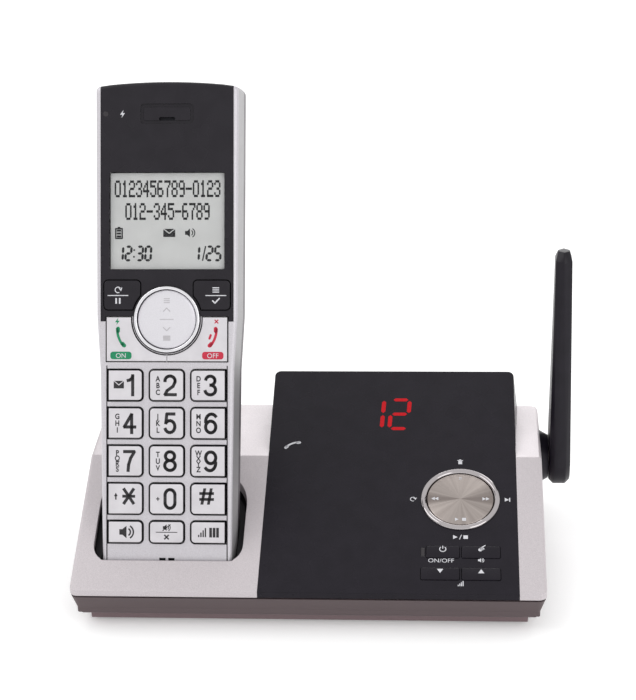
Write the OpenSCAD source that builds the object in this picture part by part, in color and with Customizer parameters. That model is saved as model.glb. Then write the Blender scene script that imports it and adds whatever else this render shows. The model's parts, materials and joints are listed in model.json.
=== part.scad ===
// Cordless telephone: a handset standing in an answering base with a folding side antenna.
// X runs across the base, Y to the back and Z up. The origin is the bottom centre of the whole set.

/* [Base casing] */
// Width of the base across its front
base_w = 156; // [150:1:175]
// Depth of the base from its lip to its rear wall
base_d = 96.4; // [92:0.2:110]
// Height of the deck's front edge above the desk
fold_z = 14.6; // [13.8:0.1:17]
// Height of the upright lip under the deck's front edge
lip_h = 2; // [1.6:0.1:2.4]
// Slope of the front deck in degrees
deck_slope = 22.3; // [20:0.1:24]
// Distance up the slope from the front edge to the crest
crest_l = 59.3; // [57:0.1:65]
// Slope of the rear deck in degrees
rear_slope = 2; // [1:0.5:4]
// Wall thickness of the base casings
base_wall = 2; // [1.6:0.1:2.2]
// Plan radius of the base's corners
corner_r = 2.8; // [2.2:0.1:5]
// Rounding of the deck's side edges
edge_r = 1; // [0.5:0.1:2]
// Shadow gap between the two base casings
shadow_gap = 0.7; // [0.4:0.1:1]

/* [Base underside] */
// Height of the skirt's lower edge
skirt_z = 4.4; // [4:0.1:5]
// How far the skirt draws in at its lower edge
skirt_draft = 2.7; // [1:0.1:3]
// Inset of the plinth from the base's outline
plinth_inset = 5.8; // [5:0.1:5.9]
// Height that the feet lift the plinth
foot_h = 1.2; // [0.8:0.1:1.6]
// Diameter of a rubber foot
foot_d = 10; // [6:0.5:12]
// Inset of a foot's centre from the base's sides
foot_inset = 20.5; // [20:0.5:30]
// Inset of a foot's centre from the base's front and back
foot_inset_y = 12.5; // [12:0.5:16]
// Diameter of the base loudspeaker
speaker_d = 40; // [30:1:44]
// Height of the base loudspeaker
speaker_h = 11; // [8:0.5:12]

/* [Faceplate] */
// Gap between the cradle and the faceplate's left edge
plate_gap = 4.9; // [4:0.1:8]
// Width of deck between the faceplate and the base's right side
plate_margin = 8.9; // [7:0.1:12]
// Distance of the faceplate's upper edge from the base's rear wall
plate_back = 3.9; // [3:0.1:6]
// Thickness of the faceplate
plate_t = 2; // [1.6:0.1:2.4]
// How far the wedge's side walls flare at its rear foot
plate_flare = 1.7; // [0:0.1:2.5]
// Radius of the faceplate's upper corners
plate_r = 2; // [1:0.1:4]

/* [Base keys] */
// Width of a base key
base_key_w = 12.6; // [10:0.1:14]
// Height of a base key
base_key_h = 4.9; // [4:0.1:6]
// Gap between the two key columns
base_key_gap = 0.8; // [0.7:0.1:2]
// Gap between the two key rows
base_row_gap = 4.2; // [2:0.1:5]
// Centre of the lower key row up the slope
low_row_l = 8.3; // [8.2:0.1:10]
// Gap between the right key column and the ledge that carries the faceplate
base_key_side = 2; // [1:0.1:6]
// Travel of a base key
base_key_travel = 0.8; // [0.4:0.1:1]
// Diameter of the four-way message disc
disc_d = 22.4; // [19:0.1:24]
// Width of the chrome ring round the message disc
ring_w = 2.15; // [1.8:0.05:3]
// Gap between the keys and the chrome ring
ring_gap = 6.9; // [5:0.1:9]

/* [Antenna] */
// Distance of the antenna's pivot from the rear wall
antenna_back = 21.4; // [18:0.1:28]
// Height of the antenna's pivot
antenna_z = 27.7; // [25:0.1:29]
// Height of the antenna's tip above its pivot
antenna_reach = 77.5; // [60:0.5:90]
// Radius of the antenna's hub
hub_r = 9.6; // [8:0.1:10.5]
// Thickness of the antenna at its hub
hub_t = 7.3; // [6.5:0.1:9]
// Thickness of the antenna at its tip
tip_t = 5.6; // [4:0.1:7]
// Width of the antenna at its tip
tip_w = 9.5; // [8:0.1:13]
// Length of the socket outside the wall
socket_l = 3; // [2:0.1:5]
// Diameter of the pivot pin
pin_d = 5; // [4:0.1:6]

/* [Handset casing] */
// Width of casing beside the keypad
key_margin = 2.05; // [1.9:0.05:3]
// How much each side widens up to the shoulder
waist_out = 0.9; // [0.4:0.1:1.5]
// How much each side widens over the shoulder
shoulder_out = 1.1; // [0.6:0.1:2]
// How much each side widens from the shoulder to the top
top_out = 0.3; // [0:0.1:1]
// Length of the shoulder
shoulder_l = 18; // [10:0.5:20]
// Distance from the earpiece's centre to the top edge
brow = 10.7; // [9.5:0.1:14]
// Rise of the arched top edge
top_arch = 1.45; // [0.5:0.05:3]
// Free depth between the circuit board and the battery
stack_gap = 1.6; // [1:0.1:3]
// Rounding of the back edges
back_r = 9; // [8:0.1:9.5]
// Rounding of the front edges
front_r = 1.5; // [0.8:0.1:2]
// How much wider the casing is behind its face, at each side
hs_flare = 0.8; // [0.4:0.1:0.8]
// Depth of the front casing behind the face
split_z = 10; // [9.5:0.1:10.8]
// Thickness of the front casing's face
face_t = 2.4; // [2:0.1:2.8]
// Wall thickness of the handset's sides
hs_wall = 1.4; // [1.2:0.1:1.5]

/* [Cradle] */
// Lean of the docked handset in degrees
lean = 22.3; // [20:0.1:24]
// Where the handset's face crosses the deck, up the slope
seat_l = 14.8; // [14:0.1:18]
// Gap between the cradle well and the base's floor
well_lift = 0.9; // [0.3:0.1:2]
// Gap between the cradle well and the base's left wall
well_margin = 2.9; // [2.4:0.1:6]
// Clearance at each side of the handset in the well's mouth
mouth_side = 3.5; // [1:0.1:3.8]
// Depth of the well's mouth below the deck
mouth_depth = 4; // [2.5:0.1:5]
// Clearance at each side of the handset's foot
well_side = 0.35; // [0.3:0.05:0.4]
// Clearance in front of the handset
well_front = 1.4; // [0.5:0.1:2]
// Clearance behind and under the handset
well_back = 0.4; // [0.3:0.05:0.8]
// Wall thickness of the cradle well
well_wall = 1.1; // [0.9:0.1:1.1]
// Corner radius at the front of the mouth
mouth_r = 5; // [3:0.1:6]

/* [Fascia and display] */
// Width of the silver strip beside the fascia at the shoulder
fascia_side = 1.4; // [1.1:0.1:1.7]
// Thickness of the black fascia
fascia_t = 1.2; // [0.9:0.1:1.4]
// Gap between the soft keys and the display window
lcd_gap = 3.6; // [3:0.1:8]
// Width of the display window
lcd_w = 38.3; // [34:0.1:39]
// Height of the display window
lcd_h = 32.2; // [28:0.1:36]
// Gap between the display window and the earpiece's centre
ear_gap = 19.3; // [18:0.1:24]
// Width of the earpiece recess
ear_w = 17.7; // [14:0.1:22]
// Height of the earpiece recess
ear_h = 6.6; // [6:0.1:8]

/* [Handset keys] */
// Lower edge of the short function keys
short_low = 12.85; // [12.5:0.05:15]
// Width of a dialling key
key_w = 11.3; // [10:0.1:12.5]
// Height of a dialling key
key_h = 10.05; // [9:0.05:12]
// Height of a short function key
short_h = 7.1; // [6:0.1:9]
// Gap between key columns
col_gap = 2.5; // [2.4:0.05:3]
// Gap between key rows
row_gap = 2.48; // [2.4:0.01:3]
// Corner radius of a key
key_r = 1.3; // [0.5:0.1:2.5]
// Height of a key above the face
key_up = 0.8; // [0.3:0.1:1.2]
// Gap round a dialling key
key_gap = 0.45; // [0.3:0.05:0.5]
// Gap round a talk, off or soft key
side_gap = 0.35; // [0.2:0.05:0.4]
// Travel of a handset key
key_travel = 0.8; // [0.4:0.1:1]
// Gap between the dialling keys and the talk and off keys
talk_gap = 2.93; // [2.5:0.01:4]
// Height of the talk and off keys
talk_h = 14.55; // [13:0.05:16]
// Distance of the talk and off keys from the casing's sides at the waist
talk_side = 2.3; // [2.2:0.1:3]
// Diameter of the four-way disc
nav_d = 19.4; // [16:0.1:20]
// Width of the ring round the four-way disc
nav_ring_w = 1.6; // [1.3:0.1:2]
// How far the four-way disc's centre lies below the fascia's edge
nav_low = 1.05; // [0.5:0.05:2]
// Gap between the fascia's lower edge and the soft keys
soft_gap = 2.2; // [1.5:0.1:3]
// Height of the soft keys
soft_h = 9.6; // [8:0.1:11]
// Distance of the soft keys from the fascia's sides
soft_side = 1.2; // [1:0.1:2]

/* [Battery] */
// Diameter of a battery cell
cell_d = 10.3; // [10:0.1:11]
// Length of a battery cell
cell_l = 44.5; // [40:0.5:50]
// Lower end of the battery cover
cover_low = 46; // [45:0.5:50]
// Length of the battery cover
cover_l = 66; // [60:0.5:68]
// Gap between the battery cover and the back's rounded edges
cover_side = 0.5; // [0.2:0.1:0.7]
// Thickness of the battery cover
cover_t = 1.8; // [1.4:0.1:2.2]
// Distance that the cover slides to release
cover_travel = 8; // [4:0.5:9]

/* [Hidden] */
$fn = 64;
hull_fn = 32;
hair = 0.02;
over = 1;
far = 200;
// Clearance between pieces of one body that only meet
fit = 0.05;
// Running clearance of the pivot pin
run_fit = 0.05;
// Clearance round a piece that moves in an opening
move_fit = 0.25;
// Clearance round a screw in its through hole
hole_fit = 0.2;
// Least radius of a rounding that is drawn in
least_r = 0.4;

// Keys in general
flange_t = 0.8;
key_flange = 0.85;
side_flange = 0.5;
cap_drop = 0.1;
press_rest = 0.1;
tilt_gap = 0.3;
disc_post_r = 2;
mat_t = 1.2;

// Handset keypad, from the bottom up
short_y = short_low + short_h / 2;
col_pitch = key_w + col_gap;
key_pitch = key_h + row_gap;
row_count = 4;
top_row_y = short_low + short_h + row_gap + key_h / 2 + (row_count - 1) * key_pitch;
talk_y = top_row_y + key_h / 2 + talk_gap;
fascia_y = talk_y + talk_h + side_gap;
nav_y = fascia_y - nav_low;
nav_ring_d = nav_d + 2 * nav_ring_w;
soft_low = fascia_y + soft_gap;
soft_top = soft_low + soft_h;
lcd_y = soft_top + lcd_gap + lcd_h / 2;
ear_y = lcd_y + lcd_h / 2 + ear_gap;

// Handset outline
hs_len = ear_y + brow;
foot_hw = 3 * key_w / 2 + col_gap + key_margin;
flange_hw = foot_hw - hs_wall - side_gap;
waist_hw = foot_hw + waist_out;
chest_hw = waist_hw + shoulder_out;
top_hw = chest_hw + top_out;
chest_y = fascia_y;
waist_y = chest_y - shoulder_l;
foot_r = 6;
top_r = 1.6;
arch_n = 6;
hs_arch_r = (top_hw * top_hw + top_arch * top_arch) / (2 * top_arch);
shoulder_lap = 5;
shoulder_rise = (chest_hw - waist_hw) / (chest_y - waist_y);
waist_rise = (waist_hw - foot_hw) / waist_y;
step = 15;
fascia_hw = chest_hw - fascia_side;
talk_hw = waist_hw - talk_side;
talk_split = 0.2;
talk_round = 0.6;
tail_w = fascia_hw - talk_hw - side_gap - fit;
tail_h = 1.7;
soft_hw = fascia_hw - soft_side;
soft_in = 8.9;
soft_up = 0.25;
nav_up = 1;
nav_round = 0.6;
nav_sleeve = 0.45;
nav_sink = 0.3;
nav_t = 2.9;

// Handset stack, from the face to the back
mat_z = face_t + cap_drop + flange_t + key_travel + press_rest;
board_z = mat_z + mat_t;
hs_board_t = 1.4;
shield_t = 2.6;
tray_wall = 1.2;
tray_fit = 0.4;
cover_fit = 0.15;
pack_front = board_z + hs_board_t + shield_t + stack_gap + tray_wall;
pack_back = pack_front + tray_fit + cell_d;
hs_t = pack_back + 2 * cover_fit + cover_t;
cover_w = 2 * (foot_hw - back_r - cover_side);
cover_high = cover_low + cover_l;
pack_end = 1;
pack_l = cell_l + 2 * pack_end;
backing_t = 1.6;
grip_n = 5;
grip_h = 0.5;
grip_w = 1;
grip_pitch = 2;
grip_top = 8;

// Handset insides
hs_screw_r = 1;
hs_head_r = 2.2;
hs_head_t = 1.4;
hs_post_r = 2.5;
hs_boss_wall = 0.7;
hs_screw_web = 2.4;
hs_seat_z = split_z + hs_screw_web;
hs_hole_web = 1;
hs_tip_gap = 1;
low_screw_y = short_low - key_flange - key_gap - hs_post_r;
low_screw_in = 7.1;
low_screw_x = foot_hw - low_screw_in;
high_screw_down = 12.8;
high_screw_y = ear_y - high_screw_down;
high_screw_in = 6.5;
high_screw_x = chest_hw - high_screw_in;
hs_screw_at = [for (s = [-1, 1]) each [[s * low_screw_x, low_screw_y], [s * high_screw_x, high_screw_y]]];
board_post_r = 1.5;
low_post_x = low_screw_x - 2 * hs_post_r - 2 * board_post_r;
high_post_x = high_screw_x - 2 * hs_post_r - board_post_r;
board_post_at = [for (s = [-1, 1]) each [[s * low_post_x, low_screw_y], [s * high_post_x, high_screw_y]]];
mat_side = 0.9;
mat_hw = foot_hw - hs_wall - mat_side;
mat_low = low_screw_y + hs_post_r + move_fit;
lcd_margin = 1;
mat_high = lcd_y - lcd_h / 2 - 2 * lcd_margin;
board_side = 0.6;
hs_board_hw = mat_hw - board_side;
hs_board_low = low_screw_y - hs_post_r - board_side;
hs_board_high = high_screw_y + hs_post_r + board_post_r;
shield_w = 24;
shield_l = 30;
shield_y = nav_y - shield_l / 3;
lens_t = 1;
lcd_in = 1.4;
ear_slot_w = 5.4;
ear_slot_h = 1.1;
ear_rim = 1.1;
ear_sink = 0.5;
ear_pad_sink = 0.2;
receiver_r = 7.5;
receiver_t = 4.5;
mic_r = 3;
mic_t = 3;
mic_y = 7.2;
mic_hole_w = 2.1;
mic_hole_h = 1.2;
mic_pitch = 3;
seam_w = 0.3;
seam_t = 0.4;
seam_x = col_pitch + key_w / 2 + key_gap;
light_r = 0.9;
light_in = 1.7;
charge_x = fascia_hw - light_in;
charge_y = ear_y;
ringer_r = 13;
ringer_gap = 5;
ringer_y = cover_high + ringer_gap + ringer_r;
ringer_t = 5;
ringer_slot_w = 16;
ringer_slot_h = 1.3;
ringer_pitch = 3.2;
contact_x = 9;
contact_w = 5;
contact_t = 3.4;
contact_z = 6;
contact_lap = 0.8;

// Base outline
wall_x = base_w / 2;
lip_z = fold_z - lip_h;
crest_y = crest_l * cos(deck_slope);
crest_z = fold_z + crest_l * sin(deck_slope);
skirt_top = lip_z - shadow_gap;
skirt_step = 0.3;
skirt_edge = 0.8;
skirt_turn = 0.6;
plinth_z = foot_h;
plinth_wall = 1.4;
floor_t = 2;
floor_z = plinth_z + floor_t;
tongue_t = 1.2;
tongue_lap = 0.4;
tongue_in = base_wall + fit + tongue_t;
ledge_t = 1.6;
rear_edge_r = 3;
fold_r = 0.4;
crest_r = 1;
foot_sink = 0.4;
foot_taper = 1;

// Cradle well and the handset's place in it
well_hw = foot_hw + mouth_side + well_wall;
well_flange = 2;
well_turn = back_r + well_back + well_wall;
hs_x = base_wall + well_margin + well_hw - wall_x;
hs_z = floor_z + well_lift + well_turn - back_r * cos(lean) + (hs_t - back_r) * sin(lean);
hs_sunk = (fold_z + seat_l * sin(deck_slope) - hs_z) / cos(lean);
hs_y = seat_l * cos(deck_slope) - hs_sunk * sin(lean);
spring_w = 2.2;
spring_t = 1.6;
contact_reach = 2;
contact_gap = 0.1;

// Faceplate and what lies under it
plate_left = hs_x + well_hw + plate_gap;
plate_right = wall_x - plate_margin;
plate_w = plate_right - plate_left;
plate_l = (base_d - plate_back) / cos(deck_slope);
plate_foot = 1.2;
plate_back_y = base_d - plate_foot;
shelf_t = 1.2;
shelf_out = 1.4;
shelf_in = 4;
shelf_front = 3.6;
shelf_front_w = 1.4;
wedge_rim = 5;
base_key_up = 0.2;
base_key_r = 0.6;
base_key_fit = 0.15;
base_flange = 0.28;
base_mat_n = -plate_t - cap_drop - flange_t - base_key_travel - press_rest;
base_board_n = base_mat_n - mat_t;
board_t = 1.6;
board_in = 8;
board_gap = 1;
post_r = 2.2;
post_in = 3;
base_board_left = plate_left + board_in;
base_board_right = plate_right - shelf_in - board_gap;
base_board_low = shelf_front + shelf_front_w + move_fit;
base_board_high = crest_l - shelf_in - board_gap;
base_post_left = base_board_left + post_in;
base_post_right = base_board_right - post_in;
light_w = 1.2;
light_h = 3.4;
col_x = (base_key_w + base_key_gap) / 2;
ring_x = plate_right - shelf_in - base_key_side - base_key_w - base_key_gap / 2;
high_row_l = low_row_l + base_key_h + base_row_gap;
ring_d = disc_d + 2 * ring_w;
ring_l = high_row_l + base_key_h / 2 + ring_gap + ring_d / 2;
ring_up = 0.9;
ring_round = 0.8;
ring_sleeve = 1.1;
disc_sink = 0.5;
disc_t = 2.4;
display_w = 22;
display_t = 5;
display_r = 1;
display_low = slope_l(crest_y + wedge_rim + board_gap, plate_t);
display_high = slope_l(base_d - 2 * wedge_rim - board_gap, plate_t + display_t);
display_x = (plate_left + plate_right) / 2;

// Antenna
antenna_y = base_d - antenna_back;
antenna_gap = 0.3;
antenna_in = wall_x + socket_l + antenna_gap;
antenna_out = antenna_in + hub_t;
socket_step = 0.3;
socket_r = hub_r - socket_step;
socket_neck_r = 6.5;
socket_in = 2.4;
socket_taper = 1.7;
collar_r = 4.4;
collar_t = 1.2;
collar_gap = 0.1;
pin_depth = 5;
pin_in = wall_x - base_wall - socket_in - collar_gap;
hub_edge = 1.6;
tip_h = 3;
ridge = 1.6;

// The whole set's middle, which the origin lies under
mid_x = (antenna_out - wall_x) / 2;
mid_y = base_d / 2;

// Base screws
screw_boss_r = 3;
boss_wall = 1;
screw_r = 1.35;
screw_head_r = 2.8;
screw_head_t = 2;
screw_web = 1.6;
screw_reach = 6;
screw_spare = 0.5;
head_fit = 0.3;
screw_lift = 2;
screw_seat = floor_z + screw_lift;
screw_edge = plinth_inset + plinth_wall + screw_boss_r + move_fit;
screw_at = [
    [plate_left + screw_boss_r, screw_edge], [wall_x - screw_edge, screw_edge],
    [screw_edge - wall_x, base_d - screw_edge], [wall_x - screw_edge, base_d - screw_edge]
];

// Sockets in the rear wall
jack_z = 16;
jack_sink = 0.3;
rest_in = 2;
line_x = hs_x;
line_w = 13.4;
line_h = 12;
line_depth = 15.5;
line_hole_w = 9.9;
line_hole_h = 7;
line_hole_depth = 12;
latch_w = 6;
latch_h = 1.8;
jack_pitch = 20;
power_x = line_x + jack_pitch;
power_w = 9.4;
power_h = 11;
power_depth = 13;
power_bore = 6.4;
power_bore_depth = 10;
power_pin = 2.1;

// Base loudspeaker
speaker_rim = 3;
speaker_wall = 2;
speaker_gap = 5.2;
speaker_off = 4.5;
speaker_x = (plate_left + plate_right) / 2 - speaker_off;
speaker_y = base_d - plinth_inset - plinth_wall - speaker_gap - speaker_wall - speaker_d / 2;
cone_t = 1;
slot_w = 2;
slot_pitch = 5;

// Shapes that the pieces share

function unit(v) = v / norm(v);

// Points of an arc of radius r that rounds the corner at b between a and c
function corner(a, b, c, r, n) =
    let (
        u = unit(a - b),
        v = unit(c - b),
        half = acos(u * v) / 2,
        o = b + unit(u + v) * r / sin(half),
        p = b + u * r / tan(half) - o,
        q = b + v * r / tan(half) - o,
        start = atan2(p.y, p.x),
        sweep = (atan2(q.y, q.x) - start + 540) % 360 - 180
    )
    [for (i = [0:n]) o + r * [cos(start + sweep * i / n), sin(start + sweep * i / n)]];

// A polygon's points with each corner rounded to its own radius
function rounded(points, radii, n = 5) =
    let (m = len(points))
    [for (i = [0:m - 1]) each radii[i] <= 0 ? [points[i]] :
        corner(points[(i + m - 1) % m], points[i], points[(i + 1) % m], radii[i], n)];

module round_rect(w, h, r) {
    square([w - 2 * r, h], center = true);
    square([w, h - 2 * r], center = true);
    for (x = [-1, 1], y = [-1, 1]) translate([x * (w / 2 - r), y * (h / 2 - r)]) circle(r);
}

// Extrudes a Y-Z outline across X, about the middle
module across(w) rotate([90, 0, 90]) linear_extrude(w, center = true) children();

// Extrudes an X-Z outline along Y from zero
module along(l) rotate([90, 0, 0]) translate([0, 0, -l]) linear_extrude(l) children();

module on_desk() translate([-mid_x, -mid_y, 0]) children();
module deck_frame() translate([0, 0, fold_z]) rotate([deck_slope, 0, 0]) children();
module rear_frame() translate([0, crest_y, crest_z]) rotate([rear_slope, 0, 0]) children();
module on_deck() on_desk() deck_frame() children();
module handset_frame() translate([hs_x, hs_y, hs_z]) rotate([90 - lean, 0, 0]) children();
module on_handset() on_desk() handset_frame() children();

// A key cap with a retaining flange under the panel that it comes through
module press_cap(up, panel_t) {
    low = panel_t + cap_drop;
    translate([0, 0, -low]) linear_extrude(up + low) children(0);
    translate([0, 0, -low - flange_t]) linear_extrude(flange_t) children(1);
}

// Base casings

// Distance up the slope of a point at the depth y and a distance n below the deck
function slope_l(y, n) = (y - n * sin(deck_slope)) / cos(deck_slope);
function deck_at(y, d) = fold_z + y * tan(deck_slope) - d / cos(deck_slope);
function rear_at(y, d) = crest_z + (y - crest_y) * tan(rear_slope) - d / cos(rear_slope);
function crest_of(d) =
    crest_y + d * (1 / cos(deck_slope) - 1 / cos(rear_slope)) / (tan(deck_slope) - tan(rear_slope));

// Side outline of the upper casing, lowered by d, drawn in by inset at front and back, open to the height low
function casing_outline(d, inset, low) = rounded([
    [inset, low], [base_d - inset, low], [base_d - inset, rear_at(base_d - inset, d)],
    [crest_of(d), deck_at(crest_of(d), d)], [inset, deck_at(inset, d)]
], [0, 0, rear_edge_r, crest_r, fold_r]);

module base_plan(inset) translate([0, base_d / 2])
    round_rect(base_w - 2 * inset, base_d - 2 * inset, max(corner_r - inset, least_r));

// How far the rounded side edge lies below the deck at a distance e inside its start
function edge_drop(e) = e <= 0 ? 0 : edge_r - sqrt(edge_r * edge_r - e * e);

// The deck's body, with round plan corners and its side edges rounded over
module casing_body() hull() {
    across(2 * (wall_x - corner_r)) polygon(casing_outline(0, 0, lip_z));
    for (side = [-1, 1], a = [15:15:90]) {
        x = wall_x - corner_r * (1 - sin(a));
        translate([side * (x - hair / 2), 0, 0]) across(hair)
            polygon(casing_outline(edge_drop(x - wall_x + edge_r), corner_r * (1 - cos(a)), lip_z));
    }
}

// The space inside the upper casing's walls of thickness t
module casing_hollow(t) across(base_w - 2 * t) polygon(casing_outline(t, t, -over));

// The space over the faceplate's seat, wider than the plate by the gap
module plate_cut(gap) deck_frame() translate([plate_left - gap, -far / 2, -plate_t])
    cube([plate_w + 2 * gap, far, far]);

// Ledge under the faceplate's edge, joined to the deck beside it
module plate_shelf() deck_frame() translate([0, 0, -plate_t - shelf_t])
    linear_extrude(shelf_t + plate_t / 2) difference() {
        translate([plate_left - shelf_out, shelf_front])
            square([plate_w + 2 * shelf_out, crest_l - shelf_front]);
        translate([plate_left + shelf_in, shelf_front + shelf_front_w])
            square([plate_w - 2 * shelf_in, crest_l - shelf_front - shelf_front_w - shelf_in]);
    }

module casing_bosses() intersection() {
    for (p = screw_at) translate([p.x, p.y, screw_seat]) cylinder(r = screw_boss_r, h = far);
    casing_hollow(base_wall / 2);
}

// Opening in the rear wall for a socket of the width w and height h
module jack_hole(x, w, h) translate([x, base_d, jack_z + h / 2])
    cube([w + 2 * fit, 4 * base_wall, h + 2 * fit], center = true);

module base_top_housing() color("silver") on_desk() difference() {
    union() {
        difference() {
            casing_body();
            casing_hollow(base_wall);
        }
        plate_shelf();
        casing_bosses();
    }
    plate_cut(fit);
    // Room under the raised wedge
    translate([plate_left + wedge_rim, crest_y + wedge_rim, 0])
        cube([plate_w - 2 * wedge_rim, base_d - crest_y - 3 * wedge_rim, far]);
    handset_frame() well_room(0);
    intersection() {
        handset_frame() well_room(well_wall + fit);
        below_deck(-base_wall);
    }
    for (p = screw_at) translate([p.x, p.y, 0]) cylinder(r = screw_r + fit, h = screw_seat + screw_reach);
    jack_hole(line_x, line_w, line_h);
    jack_hole(power_x, power_w, power_h);
    translate([wall_x - 2 * base_wall, antenna_y, antenna_z]) rotate([0, 90, 0])
        cylinder(r = socket_neck_r + fit, h = far);
}

// The raised wedge behind the crest, drawn in by d and higher than the deck's plane, which cuts it off
module wedge(d) hull() {
    deck_frame() translate([0, 0, -hair]) linear_extrude(over) polygon(rounded([
        [plate_left + fit + d, crest_l + plate_t], [plate_right - fit - d, crest_l + plate_t],
        [plate_right - d, plate_l - d], [plate_left + d, plate_l - d]
    ], [0, 0, plate_r, plate_r]));
    rear_frame() translate([0, -crest_y, hair]) linear_extrude(hair) polygon(rounded([
        [plate_left + fit + d, crest_y + plate_t], [plate_right - fit - d, crest_y + plate_t],
        [plate_right + plate_flare - d, plate_back_y - d], [plate_left - plate_flare + d, plate_back_y - d]
    ], [0, 0, plate_r, plate_r]));
}

module plate_panel() intersection() {
    deck_frame() translate([plate_left, -over, -plate_t])
        cube([plate_w, crest_l + over + 2 * plate_t, plate_t + over]);
    translate([-far / 2, 0, lip_z]) cube([far, far, far]);
}

module base_faceplate() color("#2d2a30") on_desk() difference() {
    union() {
        intersection() {
            union() {
                plate_panel();
                wedge(0);
            }
            below_deck(0);
        }
        deck_frame() for (p = base_post_spots()) translate([p.x, p.y, base_board_n])
            cylinder(r = post_r, h = -base_board_n - plate_t + hair);
    }
    intersection() {
        translate([0, 0, -base_wall]) wedge(base_wall);
        below_deck(-plate_t);
    }
    deck_frame() translate([0, 0, -far / 2]) linear_extrude(far) {
        translate([ring_x, ring_l]) circle(d = disc_d + 2 * (move_fit + ring_sleeve + fit));
        for (p = base_key_spots()) translate([p.x, p.y]) base_key_outline(p.z, base_key_fit);
        translate(light_spot()) square([light_w + 2 * fit, light_h + 2 * fit], center = true);
    }
}

// The skirt under the deck, which draws in downwards
module skirt() hull() {
    translate([0, 0, skirt_top - hair]) linear_extrude(hair) base_plan(skirt_step, $fn = hull_fn);
    translate([0, 0, skirt_z + skirt_edge]) linear_extrude(hair) base_plan(skirt_draft, $fn = hull_fn);
    translate([0, 0, skirt_z]) linear_extrude(hair) base_plan(skirt_draft + skirt_turn, $fn = hull_fn);
}

module speaker_slots() intersection() {
    for (i = [-3:3]) translate([speaker_x + i * slot_pitch, speaker_y]) square([slot_w, far], center = true);
    translate([speaker_x, speaker_y]) circle(d = speaker_d - 4 * speaker_rim);
}

module jack_rest(x, w, depth) translate([x - w / 2 + rest_in, base_d - depth, floor_z - hair])
    cube([w - 2 * rest_in, depth - 2 * rest_in, jack_z - floor_z + hair]);

// Inside of the lower casing: the floor, the ledge over the skirt and the tongue
module tub_hollow() {
    translate([0, 0, floor_z]) linear_extrude(far) base_plan(plinth_inset + plinth_wall);
    translate([0, 0, skirt_z + ledge_t]) linear_extrude(far) base_plan(skirt_draft + base_wall);
    translate([0, 0, skirt_top - base_wall]) linear_extrude(far) base_plan(tongue_in);
}

module tub_body() {
    skirt();
    translate([0, 0, plinth_z]) linear_extrude(skirt_z - plinth_z + over) base_plan(plinth_inset);
    translate([0, 0, skirt_z + over]) linear_extrude(lip_z + tongue_lap - skirt_z - over)
        base_plan(base_wall + fit);
}

module base_bottom_housing() color("#6a5c5e") on_desk() difference() {
    union() {
        difference() {
            tub_body();
            tub_hollow();
        }
        for (p = screw_at) translate([p.x, p.y, plinth_z])
            cylinder(r = screw_boss_r + boss_wall, h = screw_seat - plinth_z);
        translate([speaker_x, speaker_y, floor_z - hair]) difference() {
            cylinder(d = speaker_d + 2 * speaker_wall, h = speaker_rim);
            cylinder(d = speaker_d + 2 * fit, h = far);
        }
        jack_rest(line_x, line_w, line_depth);
        jack_rest(power_x, power_w, power_depth);
    }
    translate([0, 0, -over]) linear_extrude(floor_z + 2 * over) speaker_slots();
    for (p = screw_at) translate([p.x, p.y, 0]) {
        cylinder(r = screw_head_r + head_fit, h = screw_seat - screw_web);
        cylinder(r = screw_r + hole_fit, h = far);
    }
    for (p = foot_spots()) translate(p) cylinder(d = foot_d + 2 * fit, h = plinth_z + foot_sink);
}

function foot_spots() = [for (x = [-1, 1], y = [foot_inset_y, base_d - foot_inset_y])
    [x * (wall_x - foot_inset), y, 0]];

module base_feet() color("#3a3436") on_desk() for (p = foot_spots()) translate(p) {
    cylinder(d1 = foot_d - foot_taper, d2 = foot_d, h = plinth_z / 2);
    translate([0, 0, plinth_z / 2]) cylinder(d = foot_d, h = plinth_z / 2 + foot_sink);
}

module base_screws() color("gray") on_desk() for (p = screw_at)
    translate([p.x, p.y, screw_seat - screw_web - screw_head_t]) {
        cylinder(r = screw_head_r, h = screw_head_t);
        cylinder(r = screw_r, h = screw_head_t + screw_web + screw_reach - screw_spare);
    }

// Cradle

// Section of the well across the handset, with its side clearance and front corner radius, grown by d
module well_section(side, front_corner, d) {
    w = 2 * (foot_hw + side + d);
    front = well_front + d;
    back = hs_t + well_back + d;
    fr = front_corner + d;
    br = back_r + well_back + d;
    translate([-w / 2, br - back]) square([w, front + back - br - fr]);
    translate([fr - w / 2, front - fr]) square([w - 2 * fr, fr]);
    translate([br - w / 2, -back]) square([w - 2 * br, br]);
    for (s = [-1, 1]) {
        translate([s * (w / 2 - fr), front - fr]) circle(fr);
        translate([s * (w / 2 - br), br - back]) circle(br);
    }
}

// A straight room along the handset with a rounded lower back edge, grown by d
module well_shaft(side, front_corner, d) intersection() {
    translate([0, -far / 4, 0]) along(far) well_section(side, front_corner, d);
    across(far) polygon(rounded([
        [-well_back - d, well_front + d], [-well_back - d, -hs_t - well_back - d],
        [far, -hs_t - well_back - d], [far, well_front + d]
    ], [0, back_r + well_back + d, 0, 0], 10));
}

// The room for the handset's foot, in the handset's frame: a close shaft under a wide mouth, grown by d
module well_room(d) {
    well_shaft(well_side + hs_flare, front_r, d);
    intersection() {
        well_shaft(mouth_side, mouth_r, d);
        translate([0, hs_sunk, 0]) rotate([lean + deck_slope - 90, 0, 0])
            translate([-far / 2, -far / 2, -mouth_depth - d]) cube([far, far, far]);
    }
}

// Everything below a height n on the deck's normal
module below_deck(n) deck_frame() translate([-far, -far, n - 2 * far]) cube([2 * far, 2 * far, 2 * far]);

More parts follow.
